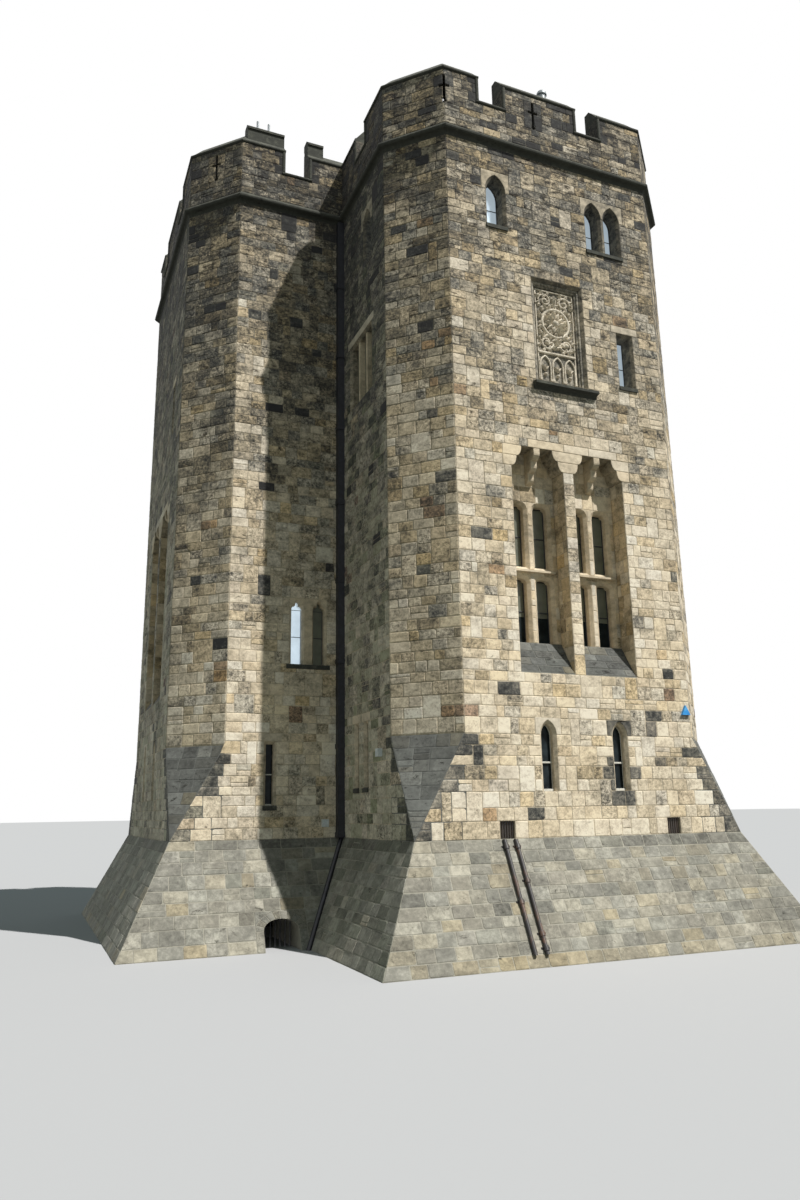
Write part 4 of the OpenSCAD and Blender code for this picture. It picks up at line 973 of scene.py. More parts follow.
    # Stone flags, worn smooth by feet: dark and only lightly mottled
    table["flags"] = stone_material("floor_flagstones", tones_of(c.moulding), c, speck_mm=300,
                                    mottle=0.6, fixed=(0.55, 0.3, 0.0, 0.5))
    return table


MATERIALS = {}

CAD_FINISH = {
    "mortar": ["front_wall", "right_wall", "right_return_wall", "rear_side_wall", "back_wall",
               "left_wall", "set_back_wall", "return_wall", "front_back_parapets",
               "side_parapets", "set_back_parapets", "return_parapets"],
    "plinth_mortar": ["front_back_plinth", "side_plinth", "set_back_plinth", "return_plinth"],
    "slab_mortar": ["corner_stops"],
    "sooty": ["raised_blocks", "string_course", "merlon_copings", "crenel_sills", "crenel_jambs",
              "window_sills", "panel_ledge"],
    "dressed": ["hall_windows", "hall_brackets", "three_light_windows", "cusped_windows"],
    "sill": ["hall_sills"],
    "shaded_carved_ground": ["relief_panel"],
    "glass": ["hall_glass", "lower_glass"],
    "glowing_pale_glass": ["upper_glass"],
    "iron": ["downpipes", "arch_bars"],
    "rusty": ["waste_pipes"],
    "steel": ["roof_flues"],
    "blue": ["alarm_box"],
    "lamp": ["wall_lamps"],
    "boards": ["hall_floor", "upper_floor", "top_floor"],
    "flags": ["basement_slab", "ground_floor"],
    "lead": ["roof_deck"],
}


def length(name, about, default, low, high):
    return FloatProperty(name=name, description=about, default=default, min=low, max=high,
                         unit="LENGTH")


def tone(name, about, default):
    return FloatVectorProperty(name=name, description=about, default=to_linear(default), size=4,
                               subtype="COLOR", min=0.0, max=1.0)


class KeepMasonry(bpy.types.PropertyGroup):
    """Sizes of the stones"""
    course: length("Course height", "Usual height of a wall course", 0.33, 0.15, 0.6)
    stone_min: length("Shortest stone", "Shortest stone in a course", 0.22, 0.1, 0.6)
    stone_max: length("Longest stone", "Longest stone in a course", 0.80, 0.4, 2.0)
    joint: length("Joint", "Width of the mortar joints", 0.012, 0.004, 0.05)
    edge: length("Edge", "Width of the worn edge of a stone", 0.008, 0.002, 0.03)
    rise: length("Rise", "How far a stone stands out of its mortar", 0.013, 0.004, 0.05)
    uneven: length("Uneven", "How much less than that a stone may stand out", 0.009, 0.0, 0.02)
    stray: length("Stray", "How far a stone corner strays from true", 0.008, 0.0, 0.03)
    broken: FloatProperty(name="Broken", description="Share of stone corners that are broken off",
                          default=0.3, min=0.0, max=1.0, subtype="FACTOR")
    seed: IntProperty(name="Seed", description="Number that fixes the choice of stones", default=7)


class KeepColours(bpy.types.PropertyGroup):
    """Colours of the stones, glass and iron"""
    soot: tone("Soot", "Wall stone, blackest", "#1e1f1f")
    wall_dark: tone("Dark stone", "Wall stone in its hollows", "#424341")
    wall_brown: tone("Brown stone", "Wall stone, brown", "#75726a")
    wall_mid: tone("Middle stone", "Wall stone, middle tone", "#a19b8e")
    wall_buff: tone("Buff stone", "Wall stone, buff", "#c5bdae")
    wall_pale: tone("Pale stone", "Wall stone, pale", "#ded6c7")
    wall_bleached: tone("Bleached stone", "Wall stone, palest", "#f1ebdc")
    warm: tone("Warmth", "Tint of the warm stones", "#ffeac0")
    # Damp tint, also used as painted shade with a green cast on the faces away from the sun
    damp_green_shade: tone("Damp", "Tint of the damp stones", "#6f8a5c")
    iron_stain: tone("Iron stain", "Tint of the rusty stones", "#d9804e")
    pit: tone("Pits", "Tint of the pits", "#5b5546")
    crust: tone("Crust", "Tint of the black crust", "#5b584e")
    moss: tone("Moss", "Moss and lichen on ledges", "#87897a")
    plinth: tone("Plinth", "Stone of the plinth", "#8b8a82")
    slab: tone("Slabs", "Stone of the corner stops and sills", "#6a6c69")
    moulding: tone("Mouldings", "Stone of copings and string course", "#3b3d37")
    glass: tone("Glass", "Dark window glass", "#22292c")
    # The blinds' colour is also the colour of the painted glow of the upper glass and blinds
    blind: tone("Blinds", "Pale daylit blinds behind the upper glass", "#c3d3df")
    cloth: tone("Hall blinds", "Blinds of the hall windows and the darker lights", "#63675a")
    iron: tone("Iron", "Painted iron", "#1b1e24")


class KeepStage(bpy.types.PropertyGroup):
    """Light and floor"""
    sun: FloatProperty(name="Sun", description="Strength of the sun", default=5.0, min=0.0)
    fill: FloatProperty(name="Fill", description="Strength of the sky fill", default=0.28, min=0.0)
    floor: tone("Floor", "Colour of the floor as seen", "#b4b6ba")
    bounce: tone("Bounce", "Colour that the floor sends back on the keep", "#75766f")


class KEEP_OT_finishes(bpy.types.Operator):
    """Gives every solid of the keep its material"""
    bl_idname = "keep.finishes"
    bl_label = "Finishes of the solids"

    def execute(self, context):
        MATERIALS.update(make_materials(context.scene.keep_colours))
        for key, names in CAD_FINISH.items():
            for name in names:
                data = NODES[name].data
                data.materials.clear()
                data.materials.append(MATERIALS[key])
        missing = set(NODES) - {n for names in CAD_FINISH.values() for n in names}
        if missing:
            raise RuntimeError(f"no finish for {sorted(missing)}")
        return {"FINISHED"}


def wall_side(i, masonry):
    """All stones of one face and of the cut corner at its start."""
    dice = draws(masonry, "wall", i)
    marks = face_marks(i)
    levels = course_levels(marks, masonry.course, masonry.seed)
    left, right = wall_edges(i)
    kinds = wall_kinds(i)
    stones = lay_courses(upright(face(i)), levels, left, right, face_openings(i), kinds, dice,
                         masonry, edge_kinds(i), stain=DAMP_AND_SHADE[i])
    mark_stones(stones, MARKED.get(i, []), dice)
    add_grime_and_shade(stones, i)
    if i in CUT_CORNERS:
        top = PLINTH_TOP + STOP_H
        marks = [top + 0.02] + [m for m in marks if m > top + 0.3]
        cut = lay_courses(upright(chamfer(i)), course_levels(marks, masonry.course, masonry.seed),
                          straight(0.0), straight(CHAMFER), [],
                          lambda x, z, r: kinds(x + 20, z + 1.0, r), dice, masonry,
                          stain=0.6 * DAMP_AND_SHADE[i])
        mark_stones(cut, MARKED_CUTS.get(i, []), dice)
        # The cut corners, grazed by the sun, are darkened a little more: painted shade
        stones += add_grime_and_shade(cut, i, 0.06)
    return stones


class KEEP_OT_walls(bpy.types.Operator):
    """Lays the coursed stones of the eight walls and their cut corners"""
    bl_idname = "keep.walls"
    bl_label = "Wall stones"

    def execute(self, context):
        masonry = context.scene.keep_masonry
        names = ["front", "right", "right_return", "rear_side", "back", "left", "set_back", "return"]
        for i, name in enumerate(names):
            build_stones(name + "_wall_stones", wall_side(i, masonry),
                         MATERIALS["wall"], masonry)
        return {"FINISHED"}


SLOPE = math.hypot(SPREAD, PLINTH_TOP)
ARCH_X, ARCH_W, ARCH_H, ARCH_RISE, ARCH_RING = SIDE_STEP - 2.275, 1.05, 0.85, 0.30, 0.24


def plinth_kinds(i):
    """Even grey-green slabs, tan at the foot, with a dark ragged course at the top."""
    def choose(x, s, dice):
        if s > SLOPE - PLINTH_COURSE and field.noise(Vector((x * 0.5 + i, 0.3, 1.0))) + x * 0.05 > 0.1:
            return pick({"slate": 1, "black": 1}, dice)
        if s < PLINTH_COURSE:
            return pick({"tan": 1.6, "plain": 1, "worn": 0.6}, dice)
        return pick({"plain": 4, "worn": 1.7, "ashen": 1.7, "tan": 0.4, "slate": 0.6}, dice)
    return choose


def arch_ring(place, dice):
    """Wedge stones round the arch, with a spandrel stone on each side."""
    up = SLOPE / PLINTH_TOP
    half, tall = ARCH_W / 2, ARCH_H * up
    outer_half, outer_tall = half + ARCH_RING, tall + ARCH_RING
    foot = (ARCH_H - ARCH_RISE) * up
    inner, outer = [(half, 0.0), (half, foot)], [(outer_half, 0.0), (outer_half, foot)]
    for t in arc_steps(5):
        inner.append((half * math.cos(t), foot + (tall - foot) * math.sin(t)))
        outer.append((outer_half * math.cos(t), foot + (outer_tall - foot) * math.sin(t)))
    stones = []
    for side in (1, -1):
        outlines = [[a, c, d, b] for a, b, c, d in zip(inner, inner[1:], outer, outer[1:])]
        outlines.append(outer[1:] + [(outer_half, outer_tall)])
        for k, outline in enumerate(outlines):
            points = [(ARCH_X + side * x, z) for x, z in outline]
            if (side < 0) == (k < len(outlines) - 1):
                points.reverse()
            middle = Vector((sum(x for x, _ in points), sum(z for _, z in points))) / len(points)
            points = [tuple(Vector(p) + (middle - Vector(p)).normalized() * 0.008) for p in points]
            stones.append(cut_stone(place, points, "ashen", dice))
    return stones, (ARCH_X - outer_half, ARCH_X + outer_half, 0, outer_tall + 0.005, None)


def plinth_side(i, masonry):
    """Slabs on the battered side i, with s measured up the slope."""
    dice = draws(masonry, "plinth", i)
    of = face(i)
    nx, nz = PLINTH_TOP / SLOPE, SPREAD / SLOPE

    def place(x, s, inset=INSET):
        return of.at(x, -SPREAD * (1 - s / SLOPE) + inset * nx,
                     max(0.0, PLINTH_TOP * s / SLOPE - inset * nz))

    def left(s):
        d = SPREAD * (1 - s / SLOPE)
        return d if STARTS_INSIDE[i] else -d

    def right(s):
        d = SPREAD * (1 - s / SLOPE)
        return FACE_LEN[i] + (-d if ENDS_INSIDE[i] else d)

    stones, holes, marks = [], [], [0.0, SLOPE]
    if i == SET_BACK:
        stones, hole = arch_ring(place, dice)
        holes, marks = [hole], [0.0, hole[3], SLOPE]
    return stones + lay_courses(place, courses("plinth", marks, masonry), left, right, holes,
                                plinth_kinds(i), dice, masonry, shortest=0.34, longest=0.86,
                                tall_share=0.0, stain=0.6 * DAMP_AND_SHADE[i])


class KEEP_OT_plinth(bpy.types.Operator):
    """Lays the slabs of the battered plinth and the ring of its arch"""
    bl_idname = "keep.plinth"
    bl_label = "Plinth stones"

    def execute(self, context):
        masonry = context.scene.keep_masonry
        for name, faces in (("front_back", (FRONT, BACK)), ("side", (RIGHT, LEFT)),
                            ("set_back", (SET_BACK, RIGHT_RETURN)), ("return", (RETURN, REAR_SIDE))):
            stones = [stone for i in faces for stone in plinth_side(i, masonry)]
            build_stones(name + "_plinth_stones", stones, MATERIALS["plinth"],
                         masonry, rise=0.012)
        return {"FINISHED"}


class KEEP_OT_corner_stops(bpy.types.Operator):
    """Lays the dark slabs on the sloping stops at the cut corners"""
    bl_idname = "keep.corner_stops"
    bl_label = "Corner stop slabs"

    def execute(self, context):
        masonry = context.scene.keep_masonry
        stones = []
        out = CUT / math.sqrt(2)
        slope = math.hypot(out, STOP_H)
        levels = courses("stop", [0.12, slope], masonry)
        for i in CUT_CORNERS:
            dice = draws(masonry, "stop", i)
            of = chamfer(i)

            def place(x, s, inset=INSET, of=of):
                return of.at(x, -out * (1 - s / slope) + inset * STOP_H / slope,
                             PLINTH_TOP + STOP_H * s / slope - inset * out / slope)

            stones += lay_courses(place, levels, lambda s: CHAMFER / 2 * (1 - s / slope),
                                  lambda s: CHAMFER / 2 * (1 + s / slope), [],
                                  lambda x, s, r: pick({"plain": 3.2 - s, "worn": 0.6, "tan": 0.5,
                                                        "slate": 1.5, "black": 0.3 + 0.5 * s}, r),
                                  dice, masonry, shortest=0.34, longest=0.8, tall_share=0.0)
        build_stones("corner_stop_slabs", stones, MATERIALS["slab"], masonry,
                     rise=0.010)
        return {"FINISHED"}


def cross_stones(place, x, dice, left=True, right=True):
    """Four cut stones round a cross slit."""
    z1, z2 = CROSS_ARM_Z, CROSS_ARM_Z + 2 * CROSS_W
    zm, foot = (z1 + z2) / 2, CROSS_LOW + 0.17
    low = [(-CROSS_HALF, CROSS_LOW), (-CROSS_FOOT, CROSS_LOW), (-CROSS_FOOT, foot), (-CROSS_W, foot),
           (-CROSS_W, z1), (-CROSS_ARM, z1), (-CROSS_ARM, zm), (-CROSS_HALF, zm)]
    high = [(-CROSS_HALF, zm), (-CROSS_ARM, zm), (-CROSS_ARM, z2), (-CROSS_W, z2),
            (-CROSS_W, CROSS_HIGH), (-CROSS_HALF, CROSS_HIGH)]
    stones = []
    for points in (low, high):
        kind = pick({"slate": 2, "grey": 1.5, "black": 1, "brown": 1}, dice)
        if left:
            stones.append(cut_stone(place, [(x + px, pz) for px, pz in points], kind, dice))
        if right:
            stones.append(cut_stone(place, [(x - px, pz) for px, pz in reversed(points)], kind, dice))
    return stones


def crenel_holes(i, kind):
    return [(x - CRENEL_W / 2, x + CRENEL_W / 2, CRENEL_Z, MERLON_TOP, kind) for x in CRENELS[i]]


def parapet_levels(masonry):
    return courses("parapet", [PARAPET_FOOT, CROSS_LOW, CRENEL_Z, CROSS_HIGH, MERLON_TOP], masonry)


def slit_hole(x, half=CROSS_HALF):
    return (x - half, x + half, CROSS_LOW, CROSS_HIGH, None)


def outer_parapet(i, masonry):
    """Stones of the parapet over face i and over the cut corner at its start."""
    dice = draws(masonry, "parapet", i)
    levels, kinds, place = parapet_levels(masonry), wall_kinds(i), upright(face(i))
    x0 = CUT if i in CUT_CORNERS else 0.0
    x1 = FACE_LEN[i] - (0.0 if ENDS_INSIDE[i] else CUT)
    holes, stones = crenel_holes(i, "slate"), []
    if i in (FRONT, BACK):
        stones += cross_stones(place, FRONT_SLIT_X, dice) + cross_stones(place, CUT, dice, left=False)
        holes += [slit_hole(FRONT_SLIT_X), slit_hole(CUT)]
    stones += lay_courses(place, levels, straight(x0), straight(x1), holes, kinds, dice, masonry,
                          tall_share=0.0)
    if i not in CUT_CORNERS:
        return add_grime_and_shade(stones, i, 0.03)
    place, holes = upright(chamfer(i)), []
    if i in (FRONT, BACK):
        stones += cross_stones(place, CHAMFER, dice, right=False)
        holes = [slit_hole(CHAMFER)]
    elif i in (RIGHT_RETURN, SET_BACK):
        stones += cross_stones(place, CHAMFER / 2, dice)
        holes = [slit_hole(CHAMFER / 2)]
    stones += lay_courses(place, levels, straight(0.0), straight(CHAMFER), holes, kinds, dice,
                          masonry, tall_share=0.0)
    return add_grime_and_shade(stones, i, 0.03)


def inner_parapet(i, masonry):
    """Stones of the same stretch of parapet, seen from the roof."""
    dice = draws(masonry, "lining", i)
    levels, kinds = parapet_levels(masonry), wall_kinds(i)
    x0 = -PARAPET_T if STARTS_INSIDE[i] else PARAPET_T + INNER_LEG
    x1 = FACE_LEN[i] + (PARAPET_T if ENDS_INSIDE[i] else -PARAPET_T - INNER_LEG)
    holes = crenel_holes(i, "grey")
    if i in (FRONT, BACK):
        holes.append(slit_hole(FRONT_SLIT_X, SLIT_INSIDE))
    stones = lay_courses(upright(face(i), PARAPET_T - 0.01), levels, straight(x0), straight(x1),
                         holes, kinds, dice, masonry, tall_share=0.0)
    if i in CUT_CORNERS:
        half = INNER_LEG / math.sqrt(2)
        holes = [slit_hole(CHAMFER / 2, SLIT_INSIDE)] if i in (RIGHT_RETURN, SET_BACK) else []
        stones += lay_courses(upright(chamfer(i), PARAPET_T - 0.01), levels,
                              straight(CHAMFER / 2 - half), straight(CHAMFER / 2 + half), holes,
                              kinds, dice, masonry, tall_share=0.0)
    for stone in stones:
        stone.points.reverse()
    return stones


class KEEP_OT_battlements(bpy.types.Operator):
    """Lays the stones of the parapets, outside and inside, round crenels and cross slits"""
    bl_idname = "keep.battlements"
    bl_label = "Battlement stones"

    def execute(self, context):
        masonry = context.scene.keep_masonry
        for name, lay in (("battlement_stones", outer_parapet),
                          ("parapet_lining_stones", inner_parapet)):
            stones = [stone for i in range(8) for stone in lay(i, masonry)]
            build_stones(name, stones, MATERIALS["wall"], masonry)
        return {"FINISHED"}


def head_stone(place, x, window, kind, side, up, dice):
    """One block over a window, cut out for the heads of its lights."""
    half, foot, top = window.head(side, up)
    points = [(x - half + 0.005, foot + 0.004)]
    if window.pointed:
        arch = [(px, window.z + pz) for px, pz in reversed(lancet(window.w, window.h, SPLAY))][1:-1]
        for offset in window.offsets:
            points += [(x + offset + px, max(foot + 0.004, pz)) for px, pz in arch]
    points += [(x + half - 0.005, foot + 0.004), (x + half - 0.005, top - 0.005),
               (x - half + 0.005, top - 0.005)]
    return cut_stone(place, points, kind, dice)


def niche_head_stones(place, dice):
    """Blocks that end in the convex rolls of the niche heads, and the thin lintel over them."""
    stones, gap, reach = [], 0.004, 0.295
    foot = NICHE_TOP - 2 * ROLL_H
    left, right = NICHE_XS[0] - NICHE_W / 2, NICHE_XS[1] + NICHE_W / 2
    pier = (NICHE_XS[0] + NICHE_W / 2, NICHE_XS[1] - NICHE_W / 2)
    for tier in range(2):
        low, shift = foot + tier * ROLL_H + gap, tier * ROLL_W
        high = foot + (tier + 1) * ROLL_H - gap
        out = shift + ROLL_W

        def roll(x, side, low=low, shift=shift):
            return corbel(x - side * shift, low - gap, ROLL_W, ROLL_H, side)[:-1]

        stones.append(cut_stone(place, [(left - reach, low), (left + shift, low)] + roll(left, -1)
                                + [(left + out, high), (left - reach, high)], "dressed", dice))
        stones.append(cut_stone(
            place, [(pier[0] - shift, low), (pier[1] + shift, low)] + roll(pier[1], -1)
            + [(pier[1] + out, high), (pier[0] - out, high)] + roll(pier[0], 1)[::-1], "dressed", dice))
        stones.append(cut_stone(
            place, [(right - shift, low), (right + reach, low), (right + reach, high),
                    (right - out, high)] + roll(right, 1)[::-1], "dressed", dice))
    cuts = [LINTEL[0], *LINTEL_JOINTS, LINTEL[1]]
    return stones + [rectangle(place, a, b, LINTEL[2], LINTEL[3], "pale", dice)
                     for a, b in zip(cuts, cuts[1:])]


class KEEP_OT_window_heads(bpy.types.Operator):
    """Sets the cut stones over lancets, square windows and hall windows"""
    bl_idname = "keep.window_heads"
    bl_label = "Window heads and lintels"

    def execute(self, context):
        stones = []
        for i in range(8):
            dice = draws(context.scene.keep_masonry, "head", i)
            place = upright(face(i))
            for x, window, kind, _, side, up in windows(i):
                stones.append(head_stone(place, x, window, kind, side, up, dice))
            if i % 4 in (0, 1):
                stones += niche_head_stones(place, dice)
        build_stones("window_head_stones", stones, MATERIALS["dressed_blocks"],
                     context.scene.keep_masonry)
        return {"FINISHED"}


# Shares of the kinds of stone in the sides, stonework and sills of the hall niches
REVEAL_KINDS = {"buff": 1.6, "brown": 2.2, "cream": 0.5, "gold": 1.0}
TRACERY_KINDS = {"dressed": 2, "cream": 1.5, "buff": 1.5, "brown": 0.8, "grey": 0.8}
SILL_KINDS = {"plain": 2, "slate": 2.5, "tan": 0.6, "black": 1.5}


def reveal_stones(of, x, dice, masonry):
    """Ashlar in the two sides of a niche."""
    levels = courses("reveal", [NICHE_Z + 0.02, NICHE_TOP - 2 * ROLL_H], masonry)
    stones = []
    for side in (-1, 1):
        wall = x + side * (NICHE_W / 2 + 0.005)
        for low, high in zip(levels, levels[1:]):
            cut = dice.choice((0.22, 0.34, 0.44))
            for a, b in ((0.006, cut), (cut, NICHE_DEEP)):
                if high - NICHE_Z < SILL_RISE * a / NICHE_DEEP:
                    continue
                outline = [(a + 0.004, low + 0.004), (b - 0.004, low + 0.004),
                           (b - 0.004, high - 0.004), (a + 0.004, high - 0.004)]
                if side > 0:
                    outline.reverse()
                stones.append(Stone([of.at(wall, y, z) for y, z in outline],
                                    stone_mix(pick(REVEAL_KINDS, dice), dice)))
    return stones


def tracery_stones(of, x, dice, masonry):
    """Jamb, mullion and head stones on the plane of the window stonework."""
    place = upright(of, NICHE_DEEP)
    half = NICHE_W / 2 - 0.008
    wide = LIGHT_W / 2 + LIGHT_SPLAY
    holes = [(x + lx - wide, x + lx + wide, lz - LIGHT_SPLAY, lz + LIGHT_H + LIGHT_SPLAY, None)
             for lx in LIGHT_XS for lz in LIGHT_ZS]
    foot = NICHE_TOP - 2 * ROLL_H
    marks = [LIGHT_ZS[0], LIGHT_ZS[0] + LIGHT_H + LIGHT_SPLAY, LIGHT_ZS[1] - LIGHT_SPLAY,
             LIGHT_ZS[1] + LIGHT_H + LIGHT_SPLAY, foot]
    stones = lay_courses(place, courses("tracery", marks, masonry), straight(x - half),
                         straight(x + half), holes, lambda px, z, r: pick(TRACERY_KINDS, r),
                         dice, masonry, shortest=0.3, longest=0.8, tall_share=0.0)
    for tier in range(2):
        reach = NICHE_W / 2 - (tier + 1) * ROLL_W
        cuts = [-reach, dice.uniform(-0.35, -0.2), dice.uniform(0.2, 0.35), reach]
        stones += [rectangle(place, x + a, x + b, foot + tier * ROLL_H, foot + (tier + 1) * ROLL_H,
                             "cream", dice) for a, b in zip(cuts, cuts[1:])]
    return stones


def sill_slabs(of, x, dice, masonry):
    """Rows of dark slabs on the slope under a hall window."""
    slope = math.hypot(NICHE_DEEP, SILL_RISE)
    across, up = NICHE_DEEP / slope, SILL_RISE / slope

    def place(px, s, inset=INSET):
        return of.at(px, across * s + inset * up, NICHE_Z + up * s - inset * across)

    half = NICHE_W / 2 - 0.012
    return lay_courses(place, courses("sill", [0.03, slope - 0.02], masonry),
                       straight(x - half), straight(x + half), [],
                       lambda px, s, r: "worn" if s > 0.85 * slope else pick(SILL_KINDS, r),
                       dice, masonry, shortest=0.4, longest=0.95, tall_share=0.0)


class KEEP_OT_hall_niches(bpy.types.Operator):
    """Lays the stones in the sides, heads and sills of the hall window niches"""
    bl_idname = "keep.hall_niches"
    bl_label = "Hall niche linings"

    def execute(self, context):
        masonry = context.scene.keep_masonry
        linings, slabs = [], []
        for i in (FRONT, RIGHT, BACK, LEFT):
            dice = draws(masonry, "niche", i)
            for x in NICHE_XS:
                linings += reveal_stones(face(i), x, dice, masonry)
                linings += tracery_stones(face(i), x, dice, masonry)
                slabs += sill_slabs(face(i), x, dice, masonry)
        build_stones("hall_niche_stones", linings, MATERIALS["dressed_blocks"],
                     masonry, rise=0.014)
        build_stones("hall_sill_slabs", slabs, MATERIALS["slab"], masonry,
                     rise=0.014)
        return {"FINISHED"}


def casement(of, x, z, w, h, y, shares, pointed=False, radius=0.016):
    """Thin frame along the edge of a light, with cross bars at shares of its height."""
    inset = 0.018
    if pointed:
        points = [(px * (w - 2 * inset) / w, inset + pz * (h - 2 * inset) / h)
                  for px, pz in lancet(w, h, 0.0, 4)]
    else:
        points = [(w / 2 - inset, inset), (w / 2 - inset, h - inset), (inset - w / 2, h - inset),
                  (inset - w / 2, inset)]
    parts = [rod([of.at(x + px, y, z + pz) for px, pz in points], radius, True, 1)]
    for share in shares:
        parts.append(rod([of.at(x - w / 2 + inset, y, z + h * share),
                          of.at(x + w / 2 - inset, y, z + h * share)], radius, False, 1))
    return parts


class KEEP_OT_glazing(bpy.types.Operator):
    """Fits the casement frames and bars in front of the glass, and the blinds"""
    bl_idname = "keep.glazing"
    bl_label = "Glazing bars and blinds"

    def execute(self, context):
        iron, white, blinds, cloth = [], [], [], []
        hall_y = NICHE_DEEP + TRACERY_T - 0.03
        for i in (FRONT, RIGHT, BACK, LEFT):
            of = face(i)
            for x in NICHE_XS:
                for lx in LIGHT_XS:
                    for lz in LIGHT_ZS:
                        iron += casement(of, x + lx, lz, LIGHT_W, LIGHT_H, hall_y, [0.5])
                        drop = 0.42 * LIGHT_H if lz == LIGHT_ZS[0] else 0.02
                        cloth.append(block(of, x + lx - 0.235, x + lx + 0.235, hall_y + 0.018,
                                           hall_y + 0.028, lz + drop, lz + LIGHT_H - 0.03, 0.003))
            for x in LOW_XS:
                low = LOW_LANCET
                white += casement(of, x, low.z, low.w, low.h, low.glass - 0.03, [], True, 0.012)
                white.append(block(of, x - low.w / 2, x + low.w / 2, low.glass - 0.05, low.glass - 0.01,
                                   low.z + 0.78, low.z + 0.83))
                white.append(block(of, x - low.w / 2, x + low.w / 2, low.glass - 0.09, low.glass - 0.01,
                                   low.z, low.z + 0.07))
        for i in range(8):
            for x, window, _, _, _, _ in windows(i):
                if window in (HIGH_LANCET, TWIN, SQUARE):
                    for offset in window.offsets:
                        iron += casement(face(i), x + offset, window.z, window.w, window.h,
                                         window.glass - 0.025, [0.48], window.pointed, 0.014)
        for i in (RETURN, REAR_SIDE):
            for k in (-1, 0, 1):
                x = TRIPLE_X + 0.7 * k
                cloth.append(block(face(i), x - 0.28, x + 0.28, TRIPLE.glass - 0.016,
                                   TRIPLE.glass - 0.004, TRIPLE.z + 0.01, TRIPLE.z + TRIPLE.h - 0.01,
                                   0.003))
        for i in (SET_BACK, RIGHT_RETURN):
            of = face(i)
            for side, hung in ((-1, blinds), (1, cloth)):
                x = CUSPED_X + side * CUSPED_OFFSET
                iron += casement(of, x, CUSPED_Z, CUSPED_LIGHT_W, 1.84, 0.215, [0.5], radius=0.012)
                hung.append(block(of, x - CUSPED_LIGHT_W / 2, x + CUSPED_LIGHT_W / 2, 0.222, 0.238,
                                  CUSPED_Z + 0.02, CUSPED_Z + CUSPED_H - 0.12, 0.003))
            for z, thick in ((SET_SLIT.z + 0.93, 0.035), (SET_SLIT.z, 0.05)):
                white.append(block(of, SET_SLIT_X - 0.12, SET_SLIT_X + 0.12, SET_SLIT.glass - 0.05,
                                   SET_SLIT.glass - 0.01, z, z + thick, 0.004))
        finish_piece(join("glazing_bars", iron), MATERIALS["iron"])
        finish_piece(join("lancet_casements", white), MATERIALS["white"])
        # The pale blinds take the glowing glass finish, so they glow too: painted light
        finish_piece(join("window_blinds_painted_glow", blinds), MATERIALS["glowing_pale_glass"])
        finish_piece(join("hall_blinds", cloth), MATERIALS["cloth"])
        return {"FINISHED"}


# Depth of the panel ground behind the face of the wall
PANEL_Y = 0.235


def knob(of, x, z, radius, out):
    """Rounded boss that stands out of the panel ground."""
    bpy.ops.mesh.primitive_uv_sphere_add(segments=18, ring_count=9, radius=1,
                                         location=of.at(x, PANEL_Y, z))
    obj = bpy.context.object
    obj.scale = (radius, out, radius)
    return obj


def leaf(of, x, z, turn, long, wide, out=0.075):
    """Pointed leaf with a midrib, as a pulled sphere."""
    bpy.ops.mesh.primitive_uv_sphere_add(segments=12, ring_count=8, radius=1,
                                         location=of.at(x, PANEL_Y, z), rotation=(0, -turn, 0))
    obj = bpy.context.object
    obj.scale = (long / 2, out, wide / 2)
    for vertex in obj.data.vertices:
        x_in, y_in, z_in = vertex.co
        taper = 1.0 - 0.55 * max(0.0, x_in)
        ridge = 1.0 + 0.3 * max(0.0, 1.0 - abs(z_in) * 5)
        vertex.co = (x_in, y_in * ridge, z_in * taper)
    return obj


def ring_points(of, x, z, radius, y, count):
    return [of.at(x + radius * math.cos(math.tau * k / count), y,
                  z + radius * math.sin(math.tau * k / count)) for k in range(count)]


def rosette(of, x, z, radius):
    """Two rings of leaves round a boss, inside a round moulding."""
    parts = [rod(ring_points(of, x, z, radius, PANEL_Y - 0.03, 36), 0.052, True, 2),
             knob(of, x, z, 0.26 * radius, 0.15)]
    rows = ((0, 0.53 * radius, 0.62 * radius, 0.32 * radius, 0.12),
            (math.tau / 20, 0.8 * radius, 0.34 * radius, 0.22 * radius, 0.1),
            (math.tau / 20, 1.22 * radius, 0.24, 0.12, 0.08))
    for k in range(10):
        for shift, away, long, wide, out in rows:
            t = math.tau * k / 10 + shift
            parts.append(leaf(of, x + away * math.cos(t), z + away * math.sin(t), t, long, wide, out))
    return parts


def scroll(of, x, z, side, up):
    """Vine scroll that fills a corner: a curled stem with leaves and a bud."""
    stem = []
    for k in range(22):
        t = math.tau * 1.2 * k / 21
        r = 0.25 * (1 - 0.75 * k / 21)
        stem.append(of.at(x + side * r * math.cos(t), PANEL_Y - 0.03, z + up * r * math.sin(t)))
    parts = [rod(stem, 0.034, False, 2), knob(of, x, z, 0.08, 0.12)]
    for k in range(8):
        t = math.tau * k / 8 + 0.4
        parts.append(leaf(of, x + side * 0.31 * math.cos(t), z + up * 0.31 * math.sin(t),
                          math.atan2(up * math.sin(t), side * math.cos(t)), 0.19, 0.12))
    return parts


def blind_arch(of, x, z, w, h):
    """Pointed arch on two little shafts, with a leaf spray inside."""
    parts = [rod([of.at(x + px, PANEL_Y - 0.03, z + pz) for px, pz in lancet(w, h, 0.0, 6)], 0.03,
                 False, 2)]
    for t in (0.9, math.pi / 2, math.pi - 0.9):
        parts.append(leaf(of, x + 0.1 * math.cos(t), z + 0.42 * h + 0.1 * math.sin(t), t, 0.24, 0.1))
    parts.append(knob(of, x, z + 0.26 * h, 0.06, 0.09))
    for foot in (x - w / 2, x + w / 2):
        parts.append(block(of, foot - 0.04, foot + 0.04, PANEL_Y - 0.08, PANEL_Y, z - 0.02,
                           z + 0.06))
    return parts


